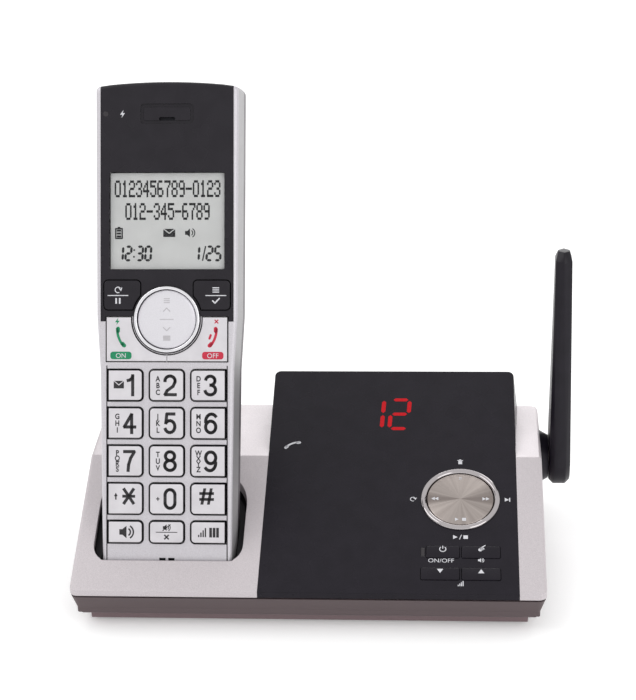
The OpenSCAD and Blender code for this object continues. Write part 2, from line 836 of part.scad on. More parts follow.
module cradle_well() color("#1c1a1e") on_desk() difference() {
    union() {
        intersection() {
            handset_frame() well_room(well_wall);
            below_deck(-base_wall - fit);
        }
        // Flange under the deck
        intersection() {
            handset_frame() well_shaft(mouth_side, mouth_r, well_wall + well_flange);
            below_deck(-base_wall - fit);
            deck_frame() translate([-far, -far, -base_wall - fit - well_wall]) cube([2 * far, 2 * far, far]);
        }
    }
    handset_frame() {
        well_room(0);
        for (s = [-1, 1]) translate([s * contact_x, 0, -contact_z])
            cube([spring_w + 2 * fit, 2 * (well_back + well_wall + fit), spring_t + 2 * fit], center = true);
    }
}

module charge_contacts() color("gold") on_handset() for (s = [-1, 1])
    translate([s * contact_x, -well_back - well_wall - contact_reach, -contact_z]) {
        translate([-spring_w / 2, 0, -spring_t / 2])
            cube([spring_w, contact_reach + well_wall + well_back - contact_gap, spring_t]);
        translate([-spring_w, 0, -spring_t]) cube([2 * spring_w, contact_reach - fit, 2 * spring_t]);
    }

// Keys, disc and inside of the base

function base_key_spots() = [
    [ring_x - col_x, low_row_l, 0], [ring_x + col_x, low_row_l, 0],
    [ring_x - col_x, high_row_l, 1], [ring_x + col_x, high_row_l, 0]
];
// The faceplate's posts on the board: two at its left corners, two at its right between and above the keys
function base_post_spots() = [
    [base_post_left, base_board_low + post_in], [base_post_left, base_board_high - post_in],
    [base_post_right, high_row_l + (base_key_h + ring_gap) / 2], [base_post_right, base_board_high - post_in]
];
function light_spot() = [ring_x - col_x - base_key_w / 2 + light_w / 2, high_row_l];

// Outline of a base key; the lit kind leaves room for the light at its left end
module base_key_outline(lit, grow) {
    cut = lit * (light_w + 2 * move_fit);
    translate([cut / 2, 0]) round_rect(base_key_w - cut + 2 * grow, base_key_h + 2 * grow, base_key_r + grow);
}

module base_key(i) {
    spot = base_key_spots()[i];
    color("#2d2a30") on_deck() translate([spot.x, spot.y, 0]) press_cap(base_key_up, plate_t) {
        base_key_outline(spot.z, 0);
        base_key_outline(spot.z, base_flange);
    }
}

module answer_light() color("#40383c") on_deck() translate([light_spot().x, light_spot().y, base_mat_n])
    linear_extrude(-base_mat_n) square([light_w, light_h], center = true);

module message_ring() color("#d8d8dc") on_deck() translate([ring_x, ring_l, 0]) {
    bore_r = disc_d / 2 + move_fit;
    rotate_extrude() polygon(rounded([
        [bore_r, -plate_t], [bore_r + ring_sleeve, -plate_t], [bore_r + ring_sleeve, fit], [ring_d / 2, fit],
        [ring_d / 2, ring_up], [bore_r, ring_up]
    ], [0, 0, 0, 0, ring_round, ring_round]));
}

// A tilting disc of the diameter d with its top at the height top, on a post that ends at the height low
module tilt_disc(d, t, top, low) {
    translate([0, 0, top - t]) cylinder(d = d, h = t);
    translate([0, 0, low]) cylinder(r = disc_post_r, h = top - low - hair);
}

module message_disc() color("#a8a49c") on_deck() translate([ring_x, ring_l, 0])
    tilt_disc(disc_d, disc_t, ring_up - disc_sink, base_mat_n + tilt_gap);

module base_keymat() {
    left = ring_x - col_x - base_key_w / 2;
    low = low_row_l - base_key_h / 2;
    color("#8a8a86") on_deck() translate([left, low, base_board_n])
        cube([base_post_right - post_r - move_fit - left, ring_l + disc_d / 2 - low, mat_t]);
}

module base_board() color("#2f6b3c") on_deck() {
    translate([base_board_left, base_board_low, base_board_n - board_t])
        cube([base_board_right - base_board_left, base_board_high - base_board_low, board_t]);
    translate([base_board_left + 2 * post_in, base_board_high - shield_w, base_board_n - board_t - shield_t])
        cube([shield_l, shield_w - post_in, shield_t + hair]);
}

module message_display() color("#3a1518") on_deck()
    translate([display_x, (display_low + display_high) / 2, -plate_t - display_t])
        linear_extrude(display_t) round_rect(display_w, display_high - display_low, display_r);

module base_speaker() color("#4a4a4e") on_desk() translate([speaker_x, speaker_y, floor_z]) {
    difference() {
        cylinder(d = speaker_d, h = speaker_rim);
        translate([0, 0, -over])
            cylinder(d1 = speaker_d - speaker_rim, d2 = speaker_d / 2, h = speaker_rim + over - cone_t);
    }
    translate([0, 0, speaker_rim - hair]) cylinder(d = speaker_d / 2, h = speaker_h - speaker_rim);
}

module line_jack() color("#202024") on_desk() translate([line_x, base_d - jack_sink - line_depth, jack_z]) {
    hole_z = (line_h - line_hole_h - latch_h) / 2;
    difference() {
        translate([-line_w / 2, 0, 0]) cube([line_w, line_depth, line_h]);
        translate([-line_hole_w / 2, line_depth - line_hole_depth, hole_z])
            cube([line_hole_w, far, line_hole_h]);
        translate([-latch_w / 2, line_depth - line_hole_depth, hole_z + line_hole_h - hair])
            cube([latch_w, far, latch_h]);
    }
}

module power_jack() color("#202024") on_desk()
    translate([power_x, base_d - jack_sink - power_depth, jack_z]) {
    bore_y = power_depth - power_bore_depth;
    difference() {
        translate([-power_w / 2, 0, 0]) cube([power_w, power_depth, power_h]);
        translate([0, bore_y, power_h / 2]) rotate([-90, 0, 0]) cylinder(d = power_bore, h = far);
    }
    translate([0, bore_y - hair, power_h / 2]) rotate([-90, 0, 0])
        cylinder(d = power_pin, h = power_bore_depth - jack_sink);
}

// Antenna

module on_pivot() on_desk() translate([0, antenna_y, antenna_z]) rotate([0, 90, 0]) children();

module antenna_socket() color("#242226") on_pivot() difference() {
    union() {
        translate([0, 0, wall_x]) cylinder(r1 = socket_r, r2 = socket_r - socket_taper, h = socket_l);
        translate([0, 0, wall_x - base_wall - socket_in])
            cylinder(r = socket_neck_r, h = base_wall + socket_in + hair);
    }
    cylinder(r = pin_d / 2 + run_fit, h = far);
}

module antenna_pin() color("gray") on_pivot() {
    translate([0, 0, pin_in]) cylinder(d = pin_d, h = antenna_in + pin_depth - pin_in);
    translate([0, 0, pin_in - collar_t]) cylinder(r = collar_r, h = collar_t);
}

// Six-sided blade section with a ridge along its front and back edges, about the blade's middle
module blade_section(t, w) linear_extrude(hair) polygon([
    [-t / 2, ridge - w / 2], [0, -w / 2], [t / 2, ridge - w / 2],
    [t / 2, w / 2 - ridge], [0, w / 2], [-t / 2, w / 2 - ridge]
]);

module antenna() color("#242226") difference() {
    on_desk() translate([antenna_in + hub_t / 2, antenna_y, antenna_z]) hull() {
        rotate([0, 90, 0]) cylinder(r = hub_r, h = hub_t - 2 * hub_edge, center = true, $fn = hull_fn);
        rotate([0, 90, 0]) cylinder(r = hub_r - hub_edge, h = hub_t, center = true, $fn = hull_fn);
        translate([0, 0, antenna_reach - tip_h]) blade_section(tip_t, tip_w);
        translate([0, 0, antenna_reach - hair]) blade_section(tip_t - ridge, tip_w - 3 * ridge);
    }
    on_pivot() cylinder(d = pin_d, h = antenna_in + pin_depth);
}

// Handset casings

// Outline of the handset above its shoulder, drawn in by d and wider by w at each side
function upper_outline(d, w) =
    let (
        hw = top_hw - d + w,
        chest = chest_hw - d + w,
        drop = hs_arch_r - sqrt(hs_arch_r * hs_arch_r - hw * hw),
        side_y = hs_len - d - drop,
        mid = [0, side_y + drop / 2],
        r = max(top_r - d / 4, least_r),
        low = [waist_hw - d + w - shoulder_lap * shoulder_rise, waist_y - shoulder_lap]
    )
    concat(
        [[-low.x, low.y], low, [chest, chest_y]],
        corner([chest, chest_y], [hw, side_y], mid, r, 3),
        [for (i = [arch_n - 1:-1:1 - arch_n]) let (x = (hw - r) * i / arch_n)
            [x, hs_len - d - hs_arch_r + sqrt(hs_arch_r * hs_arch_r - x * x)]],
        corner(mid, [-hw, side_y], [-chest, chest_y], r, 3),
        [[-chest, chest_y]]
    );

// Outline of the handset below its shoulder, drawn in by d and wider by w at each side
function lower_outline(d, w) =
    let (
        foot = foot_hw - d + w,
        hw = waist_hw - d + w + shoulder_lap * waist_rise,
        y = waist_y + shoulder_lap,
        r = max(foot_r - d / 2, over)
    )
    rounded([[-foot, d], [foot, d], [hw, y], [-hw, y]], [r, r, 0, 0]);

module half_outline(lower, d, w) polygon(lower ? lower_outline(d, w) : upper_outline(d, w));

module hs_outline(d) for (lower = [false, true]) half_outline(lower, d, 0);

// One half of the front body: a level face with rounded edges, which flares as deep as the split
module front_half(lower) hull() {
    translate([0, 0, -split_z]) linear_extrude(hair) half_outline(lower, 0, hs_flare);
    for (a = [18:18:90]) translate([0, 0, -front_r * (1 - sin(a)) - hair])
        linear_extrude(hair) half_outline(lower, front_r * (1 - cos(a)), 0);
}

// One half of the rear body with its rounded back, drawn in by d and as high as top
module rear_half(lower, d, top) hull() {
    turn = back_r - d;
    translate([0, 0, back_r - hs_t]) linear_extrude(top + hs_t - back_r) half_outline(lower, d, hs_flare);
    for (a = [step:step:90]) translate([0, 0, back_r - hs_t - turn * sin(a)])
        linear_extrude(hair) half_outline(lower, d + turn * (1 - cos(a)), hs_flare);
}

module rear_body(d, top) for (lower = [false, true]) rear_half(lower, d, top);

// Plan of the fascia: the upper front down to the keypad, with a short tail at each side
module fascia_plan(gap) {
    translate([-fascia_hw - gap, fascia_y - gap]) square([2 * (fascia_hw + gap), hs_len]);
    for (s = [-1, 1]) translate([s * (fascia_hw - tail_w / 2), fascia_y - tail_h / 2])
        square([tail_w + 2 * gap, tail_h + 2 * gap], center = true);
}

function key_col(i) = (i - 1) * col_pitch;
function key_row(i) = top_row_y - i * key_pitch;

// Outline of a key in one of the three columns; the outer columns have square corners on their outer side
module key_outline(col, h, grow) translate([key_col(col), 0]) {
    round_rect(key_w + 2 * grow, h + 2 * grow, key_r + grow);
    if (col != 1) translate([(col - 1) * (key_w / 2 + grow) / 2, 0])
        square([key_w / 2 + grow, h + 2 * grow], center = true);
}

// All the openings for the dialling and short keys
module keypad_openings() for (col = [0:2]) {
    for (r = [0:row_count - 1]) translate([0, key_row(r)]) key_outline(col, key_h, key_gap);
    translate([0, short_y]) key_outline(col, short_h, key_gap);
}

module ring_room(grow) translate([0, nav_y]) circle(d = nav_ring_d + 2 * (talk_round - grow));

// The talk key lies left of the centre line (side -1), the off key right of it (side 1)
module talk_outline(side, grow) difference() {
    translate([side > 0 ? talk_split / 2 - grow : -talk_hw - grow, talk_y - grow])
        square([talk_hw - talk_split / 2 + 2 * grow, talk_h + 2 * grow]);
    ring_room(grow);
}

module soft_outline(side, grow) difference() {
    translate([side * (soft_in + soft_hw) / 2, (soft_low + soft_top) / 2])
        round_rect(soft_hw - soft_in + 2 * grow, soft_h + 2 * grow, key_r + grow);
    ring_room(grow);
}

module nav_hole() translate([0, nav_y]) circle(d = nav_d + 2 * (move_fit + nav_sleeve + fit));

module front_openings() {
    keypad_openings();
    for (s = [-1, 1]) {
        talk_outline(s, side_gap);
        soft_outline(s, side_gap);
    }
    nav_hole();
}

// The earpiece's opening, at the lower edge of its pad
module ear_slot() translate([0, ear_y - ear_h / 2 + ear_rim + ear_slot_h / 2])
    round_rect(ear_slot_w, ear_slot_h, ear_slot_h / 2 - hair);

module ear_outline(d) translate([0, ear_y]) round_rect(ear_w - 2 * d, ear_h - 2 * d, key_r - d / 2);

module lcd_outline(grow) translate([0, lcd_y])
    round_rect(lcd_w + 2 * grow, lcd_h + 2 * grow, lcd_margin + grow / 2);

module handset_front_housing() color("#d6d2d6") on_handset() difference() {
    union() {
        difference() {
            for (lower = [false, true]) front_half(lower);
            translate([0, 0, -split_z - over]) linear_extrude(split_z + over - face_t) hs_outline(hs_wall);
        }
        for (p = hs_screw_at) translate([p.x, p.y, -split_z])
            cylinder(r = hs_post_r, h = split_z - face_t + hair);
        for (p = board_post_at) translate([p.x, p.y, -board_z])
            cylinder(r = board_post_r, h = board_z - face_t + hair);
    }
    translate([0, 0, -fascia_t - fit]) linear_extrude(far) fascia_plan(fit);
    translate([0, 0, -split_z - over]) linear_extrude(far) {
        front_openings();
        lcd_outline(-lcd_in);
        ear_slot();
        translate([-charge_x, charge_y]) circle(light_r + fit);
        for (s = [-1, 1]) translate([s * mic_pitch / 2, mic_y])
            square([mic_hole_w, mic_hole_h], center = true);
    }
    for (s = [-1, 1]) translate([s * (seam_x + seam_w / 2) - seam_w / 2 - hair, -over, -seam_t])
        cube([seam_w + 2 * hair, talk_y - talk_gap / 2 + over, far]);
    for (p = hs_screw_at) translate([p.x, p.y, -split_z - over])
        cylinder(r = hs_screw_r + fit, h = split_z + over - face_t - hs_hole_web);
    for (s = [-1, 1]) translate([s * contact_x, 0, -contact_z])
        cube([contact_w + 2 * fit, 4 * hs_wall, contact_t + 2 * fit], center = true);
}

module handset_fascia() color("#332f36") on_handset() difference() {
    intersection() {
        front_half(false);
        translate([0, 0, -fascia_t]) linear_extrude(far) fascia_plan(0);
    }
    translate([0, 0, -far / 2]) linear_extrude(far) {
        for (s = [-1, 1]) soft_outline(s, side_gap);
        nav_hole();
        lcd_outline(fit);
        ear_slot();
        translate([-charge_x, charge_y]) circle(light_r + fit);
    }
    translate([0, 0, -ear_pad_sink]) linear_extrude(far) ear_outline(0);
    translate([0, 0, -ear_sink]) linear_extrude(far) difference() {
        ear_outline(0);
        ear_outline(ear_rim);
    }
}

// Outline of the battery cover down to the height low, grown by the gap
module cover_plan(gap, low) translate([0, (low + cover_high) / 2])
    square([cover_w + 2 * gap, cover_high - low + 2 * gap], center = true);

module tray_plan(grow) translate([0, (cover_low + cover_high) / 2])
    square([2 * (cell_d + tray_fit + grow), pack_l + 2 * (tray_fit + grow)], center = true);

module handset_rear_housing() color("#3c383e") on_handset() difference() {
    union() {
        difference() {
            rear_body(0, -split_z);
            rear_body(hs_wall, over - split_z);
        }
        intersection() {
            union() {
                translate([0, 0, -hs_t]) linear_extrude(cover_t + cover_fit + backing_t)
                    cover_plan(backing_t, cover_low - cover_travel);
                translate([0, 0, -hs_t]) linear_extrude(hs_t - pack_front + tray_wall) tray_plan(tray_wall);
                for (p = hs_screw_at) translate([p.x, p.y, -hs_t])
                    cylinder(r = hs_post_r + hs_boss_wall, h = hs_t - split_z);
            }
            rear_body(hs_wall / 2, over - split_z);
        }
    }
    translate([0, 0, -far - hs_t + cover_t + cover_fit]) linear_extrude(far)
        cover_plan(cover_fit, cover_low - cover_travel);
    translate([0, 0, -far - pack_front]) linear_extrude(far) tray_plan(0);
    for (p = hs_screw_at) translate([p.x, p.y, -far]) {
        cylinder(r = hs_head_r + hole_fit, h = far - hs_seat_z);
        cylinder(r = hs_screw_r + hole_fit, h = far);
    }
    for (i = [-2:2]) translate([0, ringer_y + i * ringer_pitch, -far]) linear_extrude(far - split_z)
        round_rect(ringer_slot_w, ringer_slot_h, ringer_slot_h / 2 - hair);
}

module battery_cover() color("#3c383e") on_handset() difference() {
    translate([0, 0, -hs_t]) linear_extrude(cover_t) cover_plan(0, cover_low);
    for (i = [0:grip_n - 1]) translate([0, cover_high - grip_top - grip_pitch * i, -hs_t])
        cube([cover_w / 2, grip_w, 2 * grip_h], center = true);
}

// Inside of the handset

module battery_pack() color("#3f7f4a") on_handset()
    translate([0, (cover_low + cover_high) / 2, cell_d / 2 - pack_back]) {
        for (s = [-1, 1]) translate([s * cell_d / 2, pack_l / 2, 0]) rotate([90, 0, 0])
            cylinder(d = cell_d, h = pack_l);
        cube([cell_d, pack_l, cell_d / 2], center = true);
    }

module lcd_window() color("#d0d4d0", 0.5) on_handset() translate([0, 0, -fascia_t])
    linear_extrude(lens_t) lcd_outline(0);

module lcd_module() color("#c8ccc8") on_handset() translate([0, 0, -board_z])
    linear_extrude(board_z - face_t - fit) lcd_outline(lcd_margin / 2);

// A round capsule of radius r and height t against the inside of the face
module face_capsule(y, r, t) translate([0, y, -face_t - t]) cylinder(r = r, h = t);

module receiver() color("#55555a") on_handset() face_capsule(ear_y, receiver_r, receiver_t);

module microphone() color("#8a8a8e") on_handset() face_capsule(mic_y - mic_r / 2, mic_r, mic_t);

module ringer_speaker() color("#55555a") on_handset() translate([0, ringer_y, hs_wall - hs_t]) {
    cylinder(r = ringer_r, h = ringer_t / 2);
    cylinder(r = ringer_r / 2, h = ringer_t);
}

module charge_light() color("#5a3236") on_handset() translate([-charge_x, charge_y, -face_t])
    cylinder(r = light_r, h = face_t);

module handset_board() color("#2f6b3c") on_handset() {
    translate([0, 0, -board_z - hs_board_t]) linear_extrude(hs_board_t) difference() {
        translate([-hs_board_hw, hs_board_low]) square([2 * hs_board_hw, hs_board_high - hs_board_low]);
        for (p = hs_screw_at) translate(p) circle(hs_post_r + move_fit);
        translate([0, mic_y - mic_r / 2]) circle(mic_r + move_fit);
    }
    translate([-shield_w / 2, shield_y, -board_z - hs_board_t - shield_t])
        cube([shield_w, shield_l, shield_t + hair]);
}

module handset_keymat() color("#9a9a96") on_handset() translate([-mat_hw, mat_low, -board_z])
    cube([2 * mat_hw, mat_high - mat_low, mat_t]);

module handset_contacts() color("gold") on_handset() for (s = [-1, 1])
    translate([s * contact_x, 0, -contact_z]) {
        translate([-contact_w / 2, 0, -contact_t / 2]) cube([contact_w, hs_wall + contact_lap, contact_t]);
        translate([-contact_w / 2 - contact_lap, hs_wall + fit, -contact_t / 2 - contact_lap])
            cube([contact_w + 2 * contact_lap, contact_lap, contact_t + 2 * contact_lap]);
    }

module handset_screws() color("gray") on_handset() for (p = hs_screw_at) translate([p.x, p.y, -hs_seat_z]) {
    translate([0, 0, -hs_head_t]) cylinder(r = hs_head_r, h = hs_head_t);
    cylinder(r = hs_screw_r, h = hs_seat_z - face_t - hs_hole_web - hs_tip_gap);
}

// Keys of the handset

module nav_ring() color("#dcdce0") on_handset() translate([0, nav_y, 0]) {
    bore_r = nav_d / 2 + move_fit;
    sleeve_r = bore_r + nav_sleeve;
    rotate_extrude() polygon(rounded([
        [bore_r, -face_t], [sleeve_r, -face_t], [sleeve_r, fit], [nav_ring_d / 2, fit],
        [nav_ring_d / 2, nav_up], [bore_r, nav_up]
    ], [0, 0, 0, 0, nav_round, nav_round]));
}

module nav_disc() color("#d0ccd0") on_handset() translate([0, nav_y, 0])
    tilt_disc(nav_d, nav_t, nav_up - nav_sink, tilt_gap - mat_z);

module soft_key(side) color("#332f36") on_handset() press_cap(soft_up, face_t) {
    soft_outline(side, 0);
    soft_outline(side, side_flange);
}

// The half of the face on one side of the split between the talk and off keys
module talk_half(side) translate([side * (far + talk_split) / 2, talk_y]) square(far, center = true);

module talk_key(side) color("#dcd8dc") on_handset() press_cap(soft_up, face_t) {
    talk_outline(side, 0);
    intersection() {
        talk_outline(side, side_flange);
        talk_half(side);
    }
}

module face_key(col, y, h) color("#d6d2d6") on_handset() translate([0, y, 0]) press_cap(key_up, face_t) {
    key_outline(col, h, 0);
    intersection() {
        key_outline(col, h, key_flange);
        square([2 * flange_hw, far], center = true);
    }
}

module dial_key(col, row) face_key(col, key_row(row), key_h);

module short_key(col) face_key(col, short_y, short_h);

base_top_housing();
base_faceplate();
base_bottom_housing();
base_feet();
base_screws();
cradle_well();
charge_contacts();
base_board();
base_keymat();
base_speaker();
message_display();
message_ring();
message_disc();
base_key(0);  // volume_down_key
base_key(1);  // volume_up_key
base_key(2);  // answer_key
base_key(3);  // find_key
answer_light();
antenna_socket();
antenna_pin();
antenna();
line_jack();
power_jack();
handset_front_housing();
handset_rear_housing();
battery_cover();
battery_pack();
handset_fascia();
lcd_window();
lcd_module();
receiver();
microphone();
ringer_speaker();
charge_light();
handset_board();
handset_keymat();
handset_contacts();
handset_screws();
nav_ring();
nav_disc();
soft_key(-1);  // redial_key
soft_key(1);  // menu_key
talk_key(-1);  // phone_key
talk_key(1);  // off_key
dial_key(0, 0);  // key_1
dial_key(1, 0);  // key_2
dial_key(2, 0);  // key_3
dial_key(0, 1);  // key_4
dial_key(1, 1);  // key_5
dial_key(2, 1);  // key_6
dial_key(0, 2);  // key_7
dial_key(1, 2);  // key_8
dial_key(2, 2);  // key_9
dial_key(0, 3);  // key_star
dial_key(1, 3);  // key_0
dial_key(2, 3);  // key_pound
short_key(0);  // key_speaker
short_key(1);  // key_mute
short_key(2);  // key_equalizer
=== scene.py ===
import json
import math

import bmesh
import bpy
from mathutils import Matrix, Vector

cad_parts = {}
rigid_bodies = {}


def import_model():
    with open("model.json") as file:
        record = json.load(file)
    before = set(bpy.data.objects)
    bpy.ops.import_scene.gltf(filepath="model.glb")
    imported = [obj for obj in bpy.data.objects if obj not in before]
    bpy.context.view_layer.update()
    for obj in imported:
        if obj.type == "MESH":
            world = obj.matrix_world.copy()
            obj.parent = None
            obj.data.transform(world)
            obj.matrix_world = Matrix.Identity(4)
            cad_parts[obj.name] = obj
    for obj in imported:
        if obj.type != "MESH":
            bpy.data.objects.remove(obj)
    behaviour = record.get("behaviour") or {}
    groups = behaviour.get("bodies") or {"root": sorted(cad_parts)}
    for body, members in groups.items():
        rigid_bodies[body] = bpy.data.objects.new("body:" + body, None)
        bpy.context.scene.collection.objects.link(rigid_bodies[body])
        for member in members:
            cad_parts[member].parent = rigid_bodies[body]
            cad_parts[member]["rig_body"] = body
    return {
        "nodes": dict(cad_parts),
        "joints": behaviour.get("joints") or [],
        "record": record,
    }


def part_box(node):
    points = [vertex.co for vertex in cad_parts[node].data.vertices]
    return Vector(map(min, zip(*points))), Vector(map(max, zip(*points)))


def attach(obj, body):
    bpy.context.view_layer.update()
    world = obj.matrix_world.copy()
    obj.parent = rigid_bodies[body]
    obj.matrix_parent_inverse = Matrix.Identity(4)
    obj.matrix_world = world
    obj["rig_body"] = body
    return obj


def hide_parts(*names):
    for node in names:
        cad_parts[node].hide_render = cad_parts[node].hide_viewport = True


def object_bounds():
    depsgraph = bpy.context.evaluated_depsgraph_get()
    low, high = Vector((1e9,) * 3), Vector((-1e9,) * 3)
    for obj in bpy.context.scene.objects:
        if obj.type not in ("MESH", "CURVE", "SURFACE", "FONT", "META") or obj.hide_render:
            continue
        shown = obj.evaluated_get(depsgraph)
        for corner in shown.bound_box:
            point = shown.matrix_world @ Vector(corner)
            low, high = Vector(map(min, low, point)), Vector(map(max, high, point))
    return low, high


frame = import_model()
cad_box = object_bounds()

# Looks of a cordless telephone: a handset standing in an answering base with a folding side antenna.
# Named lengths and drawn marks are in millimetres, and MM turns them into the frame's metres.

MM = 0.001

# Camera, as found from the photograph
FRAME_HEIGHT = 700
FOCAL_PIXELS = 1997.8
SENSOR = 36.0
CAMERA_AT = Vector((40.44, -612.11, 341.75)) * MM
CAMERA_TILT = math.radians(23.119)
CAMERA_TURN = math.radians(-4.041)
CAMERA_ROLL = math.radians(-1.457)

# Light: the room's strength, the floor's width in metres and how much it glows for the camera,
# and each lamp's place and width in metres with its power in watts
AMBIENT = 0.7
FLOOR_SIZE = 12.0
FLOOR_LIFT = 0.24
LAMPS = {
    "top_light": ((-1.0, -0.1, 1.3), 1.2, 6.5),
    "front_light": ((0.9, -1.0, 0.8), 1.0, 5.0),
    "rear_light": ((0.2, 1.5, 0.9), 1.2, 9.0),
}

# Rounding of the edges of each kind of piece
KEY_ROUND = 0.35
TALK_ROUND = 0.1
BLACK_KEY_ROUND = 0.08
NAV_ROUND = 0.5
MESSAGE_ROUND = 0.35
ANTENNA_ROUND = 1.3

# Which points are one, which creases count as flat, which edges are rounded and which stay visible
WELD = 0.002 * MM
FLAT = math.radians(0.5)
SHARP = math.radians(40)
SMOOTH = math.radians(32)

# How far out of the casing a key's face has to look to keep the colour of its top; its sides and the lower
# part of its rounded edge are painted dark as the shade round the key
SHADE_FACING = 0.75

# How far a printed mark lies above its surface
PRINT_LIFT = 0.03 * MM


def put(name, data):
    """A new object in the scene."""
    made = bpy.data.objects.new(name, data)
    bpy.context.scene.collection.objects.link(made)
    return made


# Camera

def make_camera():
    """A camera that looks down and to the left as the photographer's did."""
    right = Vector((math.cos(CAMERA_TURN), -math.sin(CAMERA_TURN), 0))
    ahead = Vector((
        math.sin(CAMERA_TURN) * math.cos(CAMERA_TILT),
        math.cos(CAMERA_TURN) * math.cos(CAMERA_TILT),
        -math.sin(CAMERA_TILT),
    ))
    up = right.cross(ahead)
    across = math.cos(CAMERA_ROLL) * right + math.sin(CAMERA_ROLL) * up
    upright = math.cos(CAMERA_ROLL) * up - math.sin(CAMERA_ROLL) * right
    data = bpy.data.cameras.new("camera")
    data.sensor_width = SENSOR
    data.lens = SENSOR * FOCAL_PIXELS / FRAME_HEIGHT
    camera = put("camera", data)
    axes = Matrix((across, upright, -ahead)).transposed().to_4x4()
    camera.matrix_world = Matrix.Translation(CAMERA_AT) @ axes
    bpy.context.scene.camera = camera


# Faces that the keys are pressed into

def face_frame(press_joint):
    """A rotation whose Z points out of a key's face, with X across the telephone."""
    pressed = Vector(next(j["axis"] for j in frame["joints"] if j["name"] == press_joint))
    out = -pressed.normalized()
    across = Vector((1, 0, 0))
    return Matrix((across, out.cross(across), out)).transposed()


HANDSET = face_frame("key_5_press")
DECK = face_frame("answer_key_press")


def local_box(node, face):
    """Lowest and highest corner of a node in a face's own directions."""
    spots = [face.transposed() @ v.co for v in frame["nodes"][node].data.vertices]
    low = Vector([min(s[i] for s in spots) for i in range(3)])
    high = Vector([max(s[i] for s in spots) for i in range(3)])
    return low, high


def top_centre(node, face):
    """Middle of a node's top, in a face's own directions."""
    low, high = local_box(node, face)
    return Vector(((low.x + high.x) / 2, (low.y + high.y) / 2, high.z))


# Flat marks, as lists of polygons in millimetres

def moved(shapes, x=0.0, y=0.0, scale=1.0, turn=0.0):
    """The same polygons scaled, turned by an angle in degrees, and moved."""
    c, s = math.cos(math.radians(turn)) * scale, math.sin(math.radians(turn)) * scale
    return [[(x + c * px - s * py, y + s * px + c * py) for px, py in shape] for shape in shapes]


def bar(w, h, x=0.0, y=0.0):
    """A level bar about a point."""
    return [[(x - w / 2, y - h / 2), (x + w / 2, y - h / 2), (x + w / 2, y + h / 2), (x - w / 2, y + h / 2)]]


def arc(r, width, start, end, count=18):
    """A band along an arc between two angles in degrees, as short pieces."""
    angles = [math.radians(start + (end - start) * i / count) for i in range(count + 1)]
    inner, outer = r - width / 2, r + width / 2
    spokes = [Vector((math.cos(a), math.sin(a))) for a in angles]
    return [
        [tuple(p * inner), tuple(p * outer), tuple(q * outer), tuple(q * inner)]
        for p, q in zip(spokes, spokes[1:])
    ]


def pill(w, h):
    """A bar with round ends."""
    r = h / 2
    right = [math.radians(-90 + 15 * i) for i in range(13)]
    ends = [(w / 2 - r + r * math.cos(a), r * math.sin(a)) for a in right]
    return [ends + [(-x, -y) for x, y in ends]]


def label(w, h, r):
    """A bar with rounded corners."""
    points = []
    for sx, sy, start in ((1, 1, 0), (-1, 1, 90), (-1, -1, 180), (1, -1, 270)):
        for turn in range(0, 91, 15):
            a = math.radians(start + turn)
            points.append((sx * (w / 2 - r) + r * math.cos(a), sy * (h / 2 - r) + r * math.sin(a)))
    return [points]


def triangle(w, h, x=0.0, y=0.0):
    """A triangle that points along X."""
    return [[(x - w / 2, y - h / 2), (x + w / 2, y), (x - w / 2, y + h / 2)]]


def stroke(points, width):
    """Straight bars of one width along a line of points."""
    shapes = []
    for a, b in zip(points, points[1:]):
        a, b = Vector(a), Vector(b)
        side = (b - a).normalized().orthogonal() * width / 2
        ahead = (b - a).normalized() * width / 4
        corners = (a - ahead - side, b + ahead - side, b + ahead + side, a - ahead + side)
        shapes.append([tuple(p) for p in corners])
    return shapes


def envelope(w, h):
    """A closed envelope with its folds left open."""
    x, y, gap = w / 2, h / 2, w * 0.035
    flap = [[(-x + 2 * gap, y), (0, y * 0.05), (x - 2 * gap, y)]]
    body = [[(-x, -y), (x, -y), (x, y - gap), (0, -y * 0.25), (-x, y - gap)]]
    return flap + body


def receiver_mark(size):
    """A slim telephone handset seen from the side, bowed to the left."""
    handle = moved(arc(1.35, 0.12, 160, 200), x=1.35)
    ends = sum((moved(pill(0.3, 0.18), x=0.1, y=0.38 * s, turn=90 - 22 * s) for s in (-1, 1)), [])
    return moved(handle + ends, scale=size)


def finder_mark(size):
    """A small telephone with an antenna, lying aslant."""
    body = pill(0.5, 0.34) + bar(0.34, 0.34, x=0.12)
    antenna = bar(0.34, 0.1, x=0.42, y=0.12)
    return moved(body + antenna, scale=size, turn=38)


def speaker_mark(size):
    """A loudspeaker with two waves."""
    cone = [[(-0.2, -0.2), (0.1, -0.45), (0.1, 0.45), (-0.2, 0.2)]]
    box = bar(0.24, 0.4, x=-0.3)
    waves = moved(arc(0.28, 0.11, -60, 60) + arc(0.5, 0.11, -60, 60), x=0.1)
    return moved(cone + box + waves, scale=size)


def power_mark(size):
    """An open ring with an upright bar."""
    return moved(arc(0.4, 0.12, 125, 415) + bar(0.12, 0.45, y=0.3), scale=size)


def loop_mark(size):
    """A round arrow."""
    head = moved(triangle(0.42, 0.5), x=0.36, y=0.05, turn=-80)
    return moved(arc(0.36, 0.12, 20, 300) + head, scale=size)


def cross_mark(size):
    """Two crossing bars."""
    arm = bar(1.0, 0.22)
    return moved(moved(arm, turn=45) + moved(arm, turn=-45), scale=size)


def bolt_mark(size):
    """A flash of lightning."""
    half = [(0.14, 0.5), (-0.32, -0.1), (-0.02, -0.1)]
    return moved([half + [(-x, -y) for x, y in half]], scale=size)


def battery_mark(size):
    """A small upright battery with three bars."""
    shell = stroke([(-0.3, -0.5), (0.3, -0.5), (0.3, 0.4), (-0.3, 0.4), (-0.3, -0.5)], 0.13)
    cells = sum((bar(0.4, 0.19, y=-0.32 + 0.27 * i) for i in range(3)), [])
    return moved(shell + cells + bar(0.26, 0.12, y=0.5), scale=size)


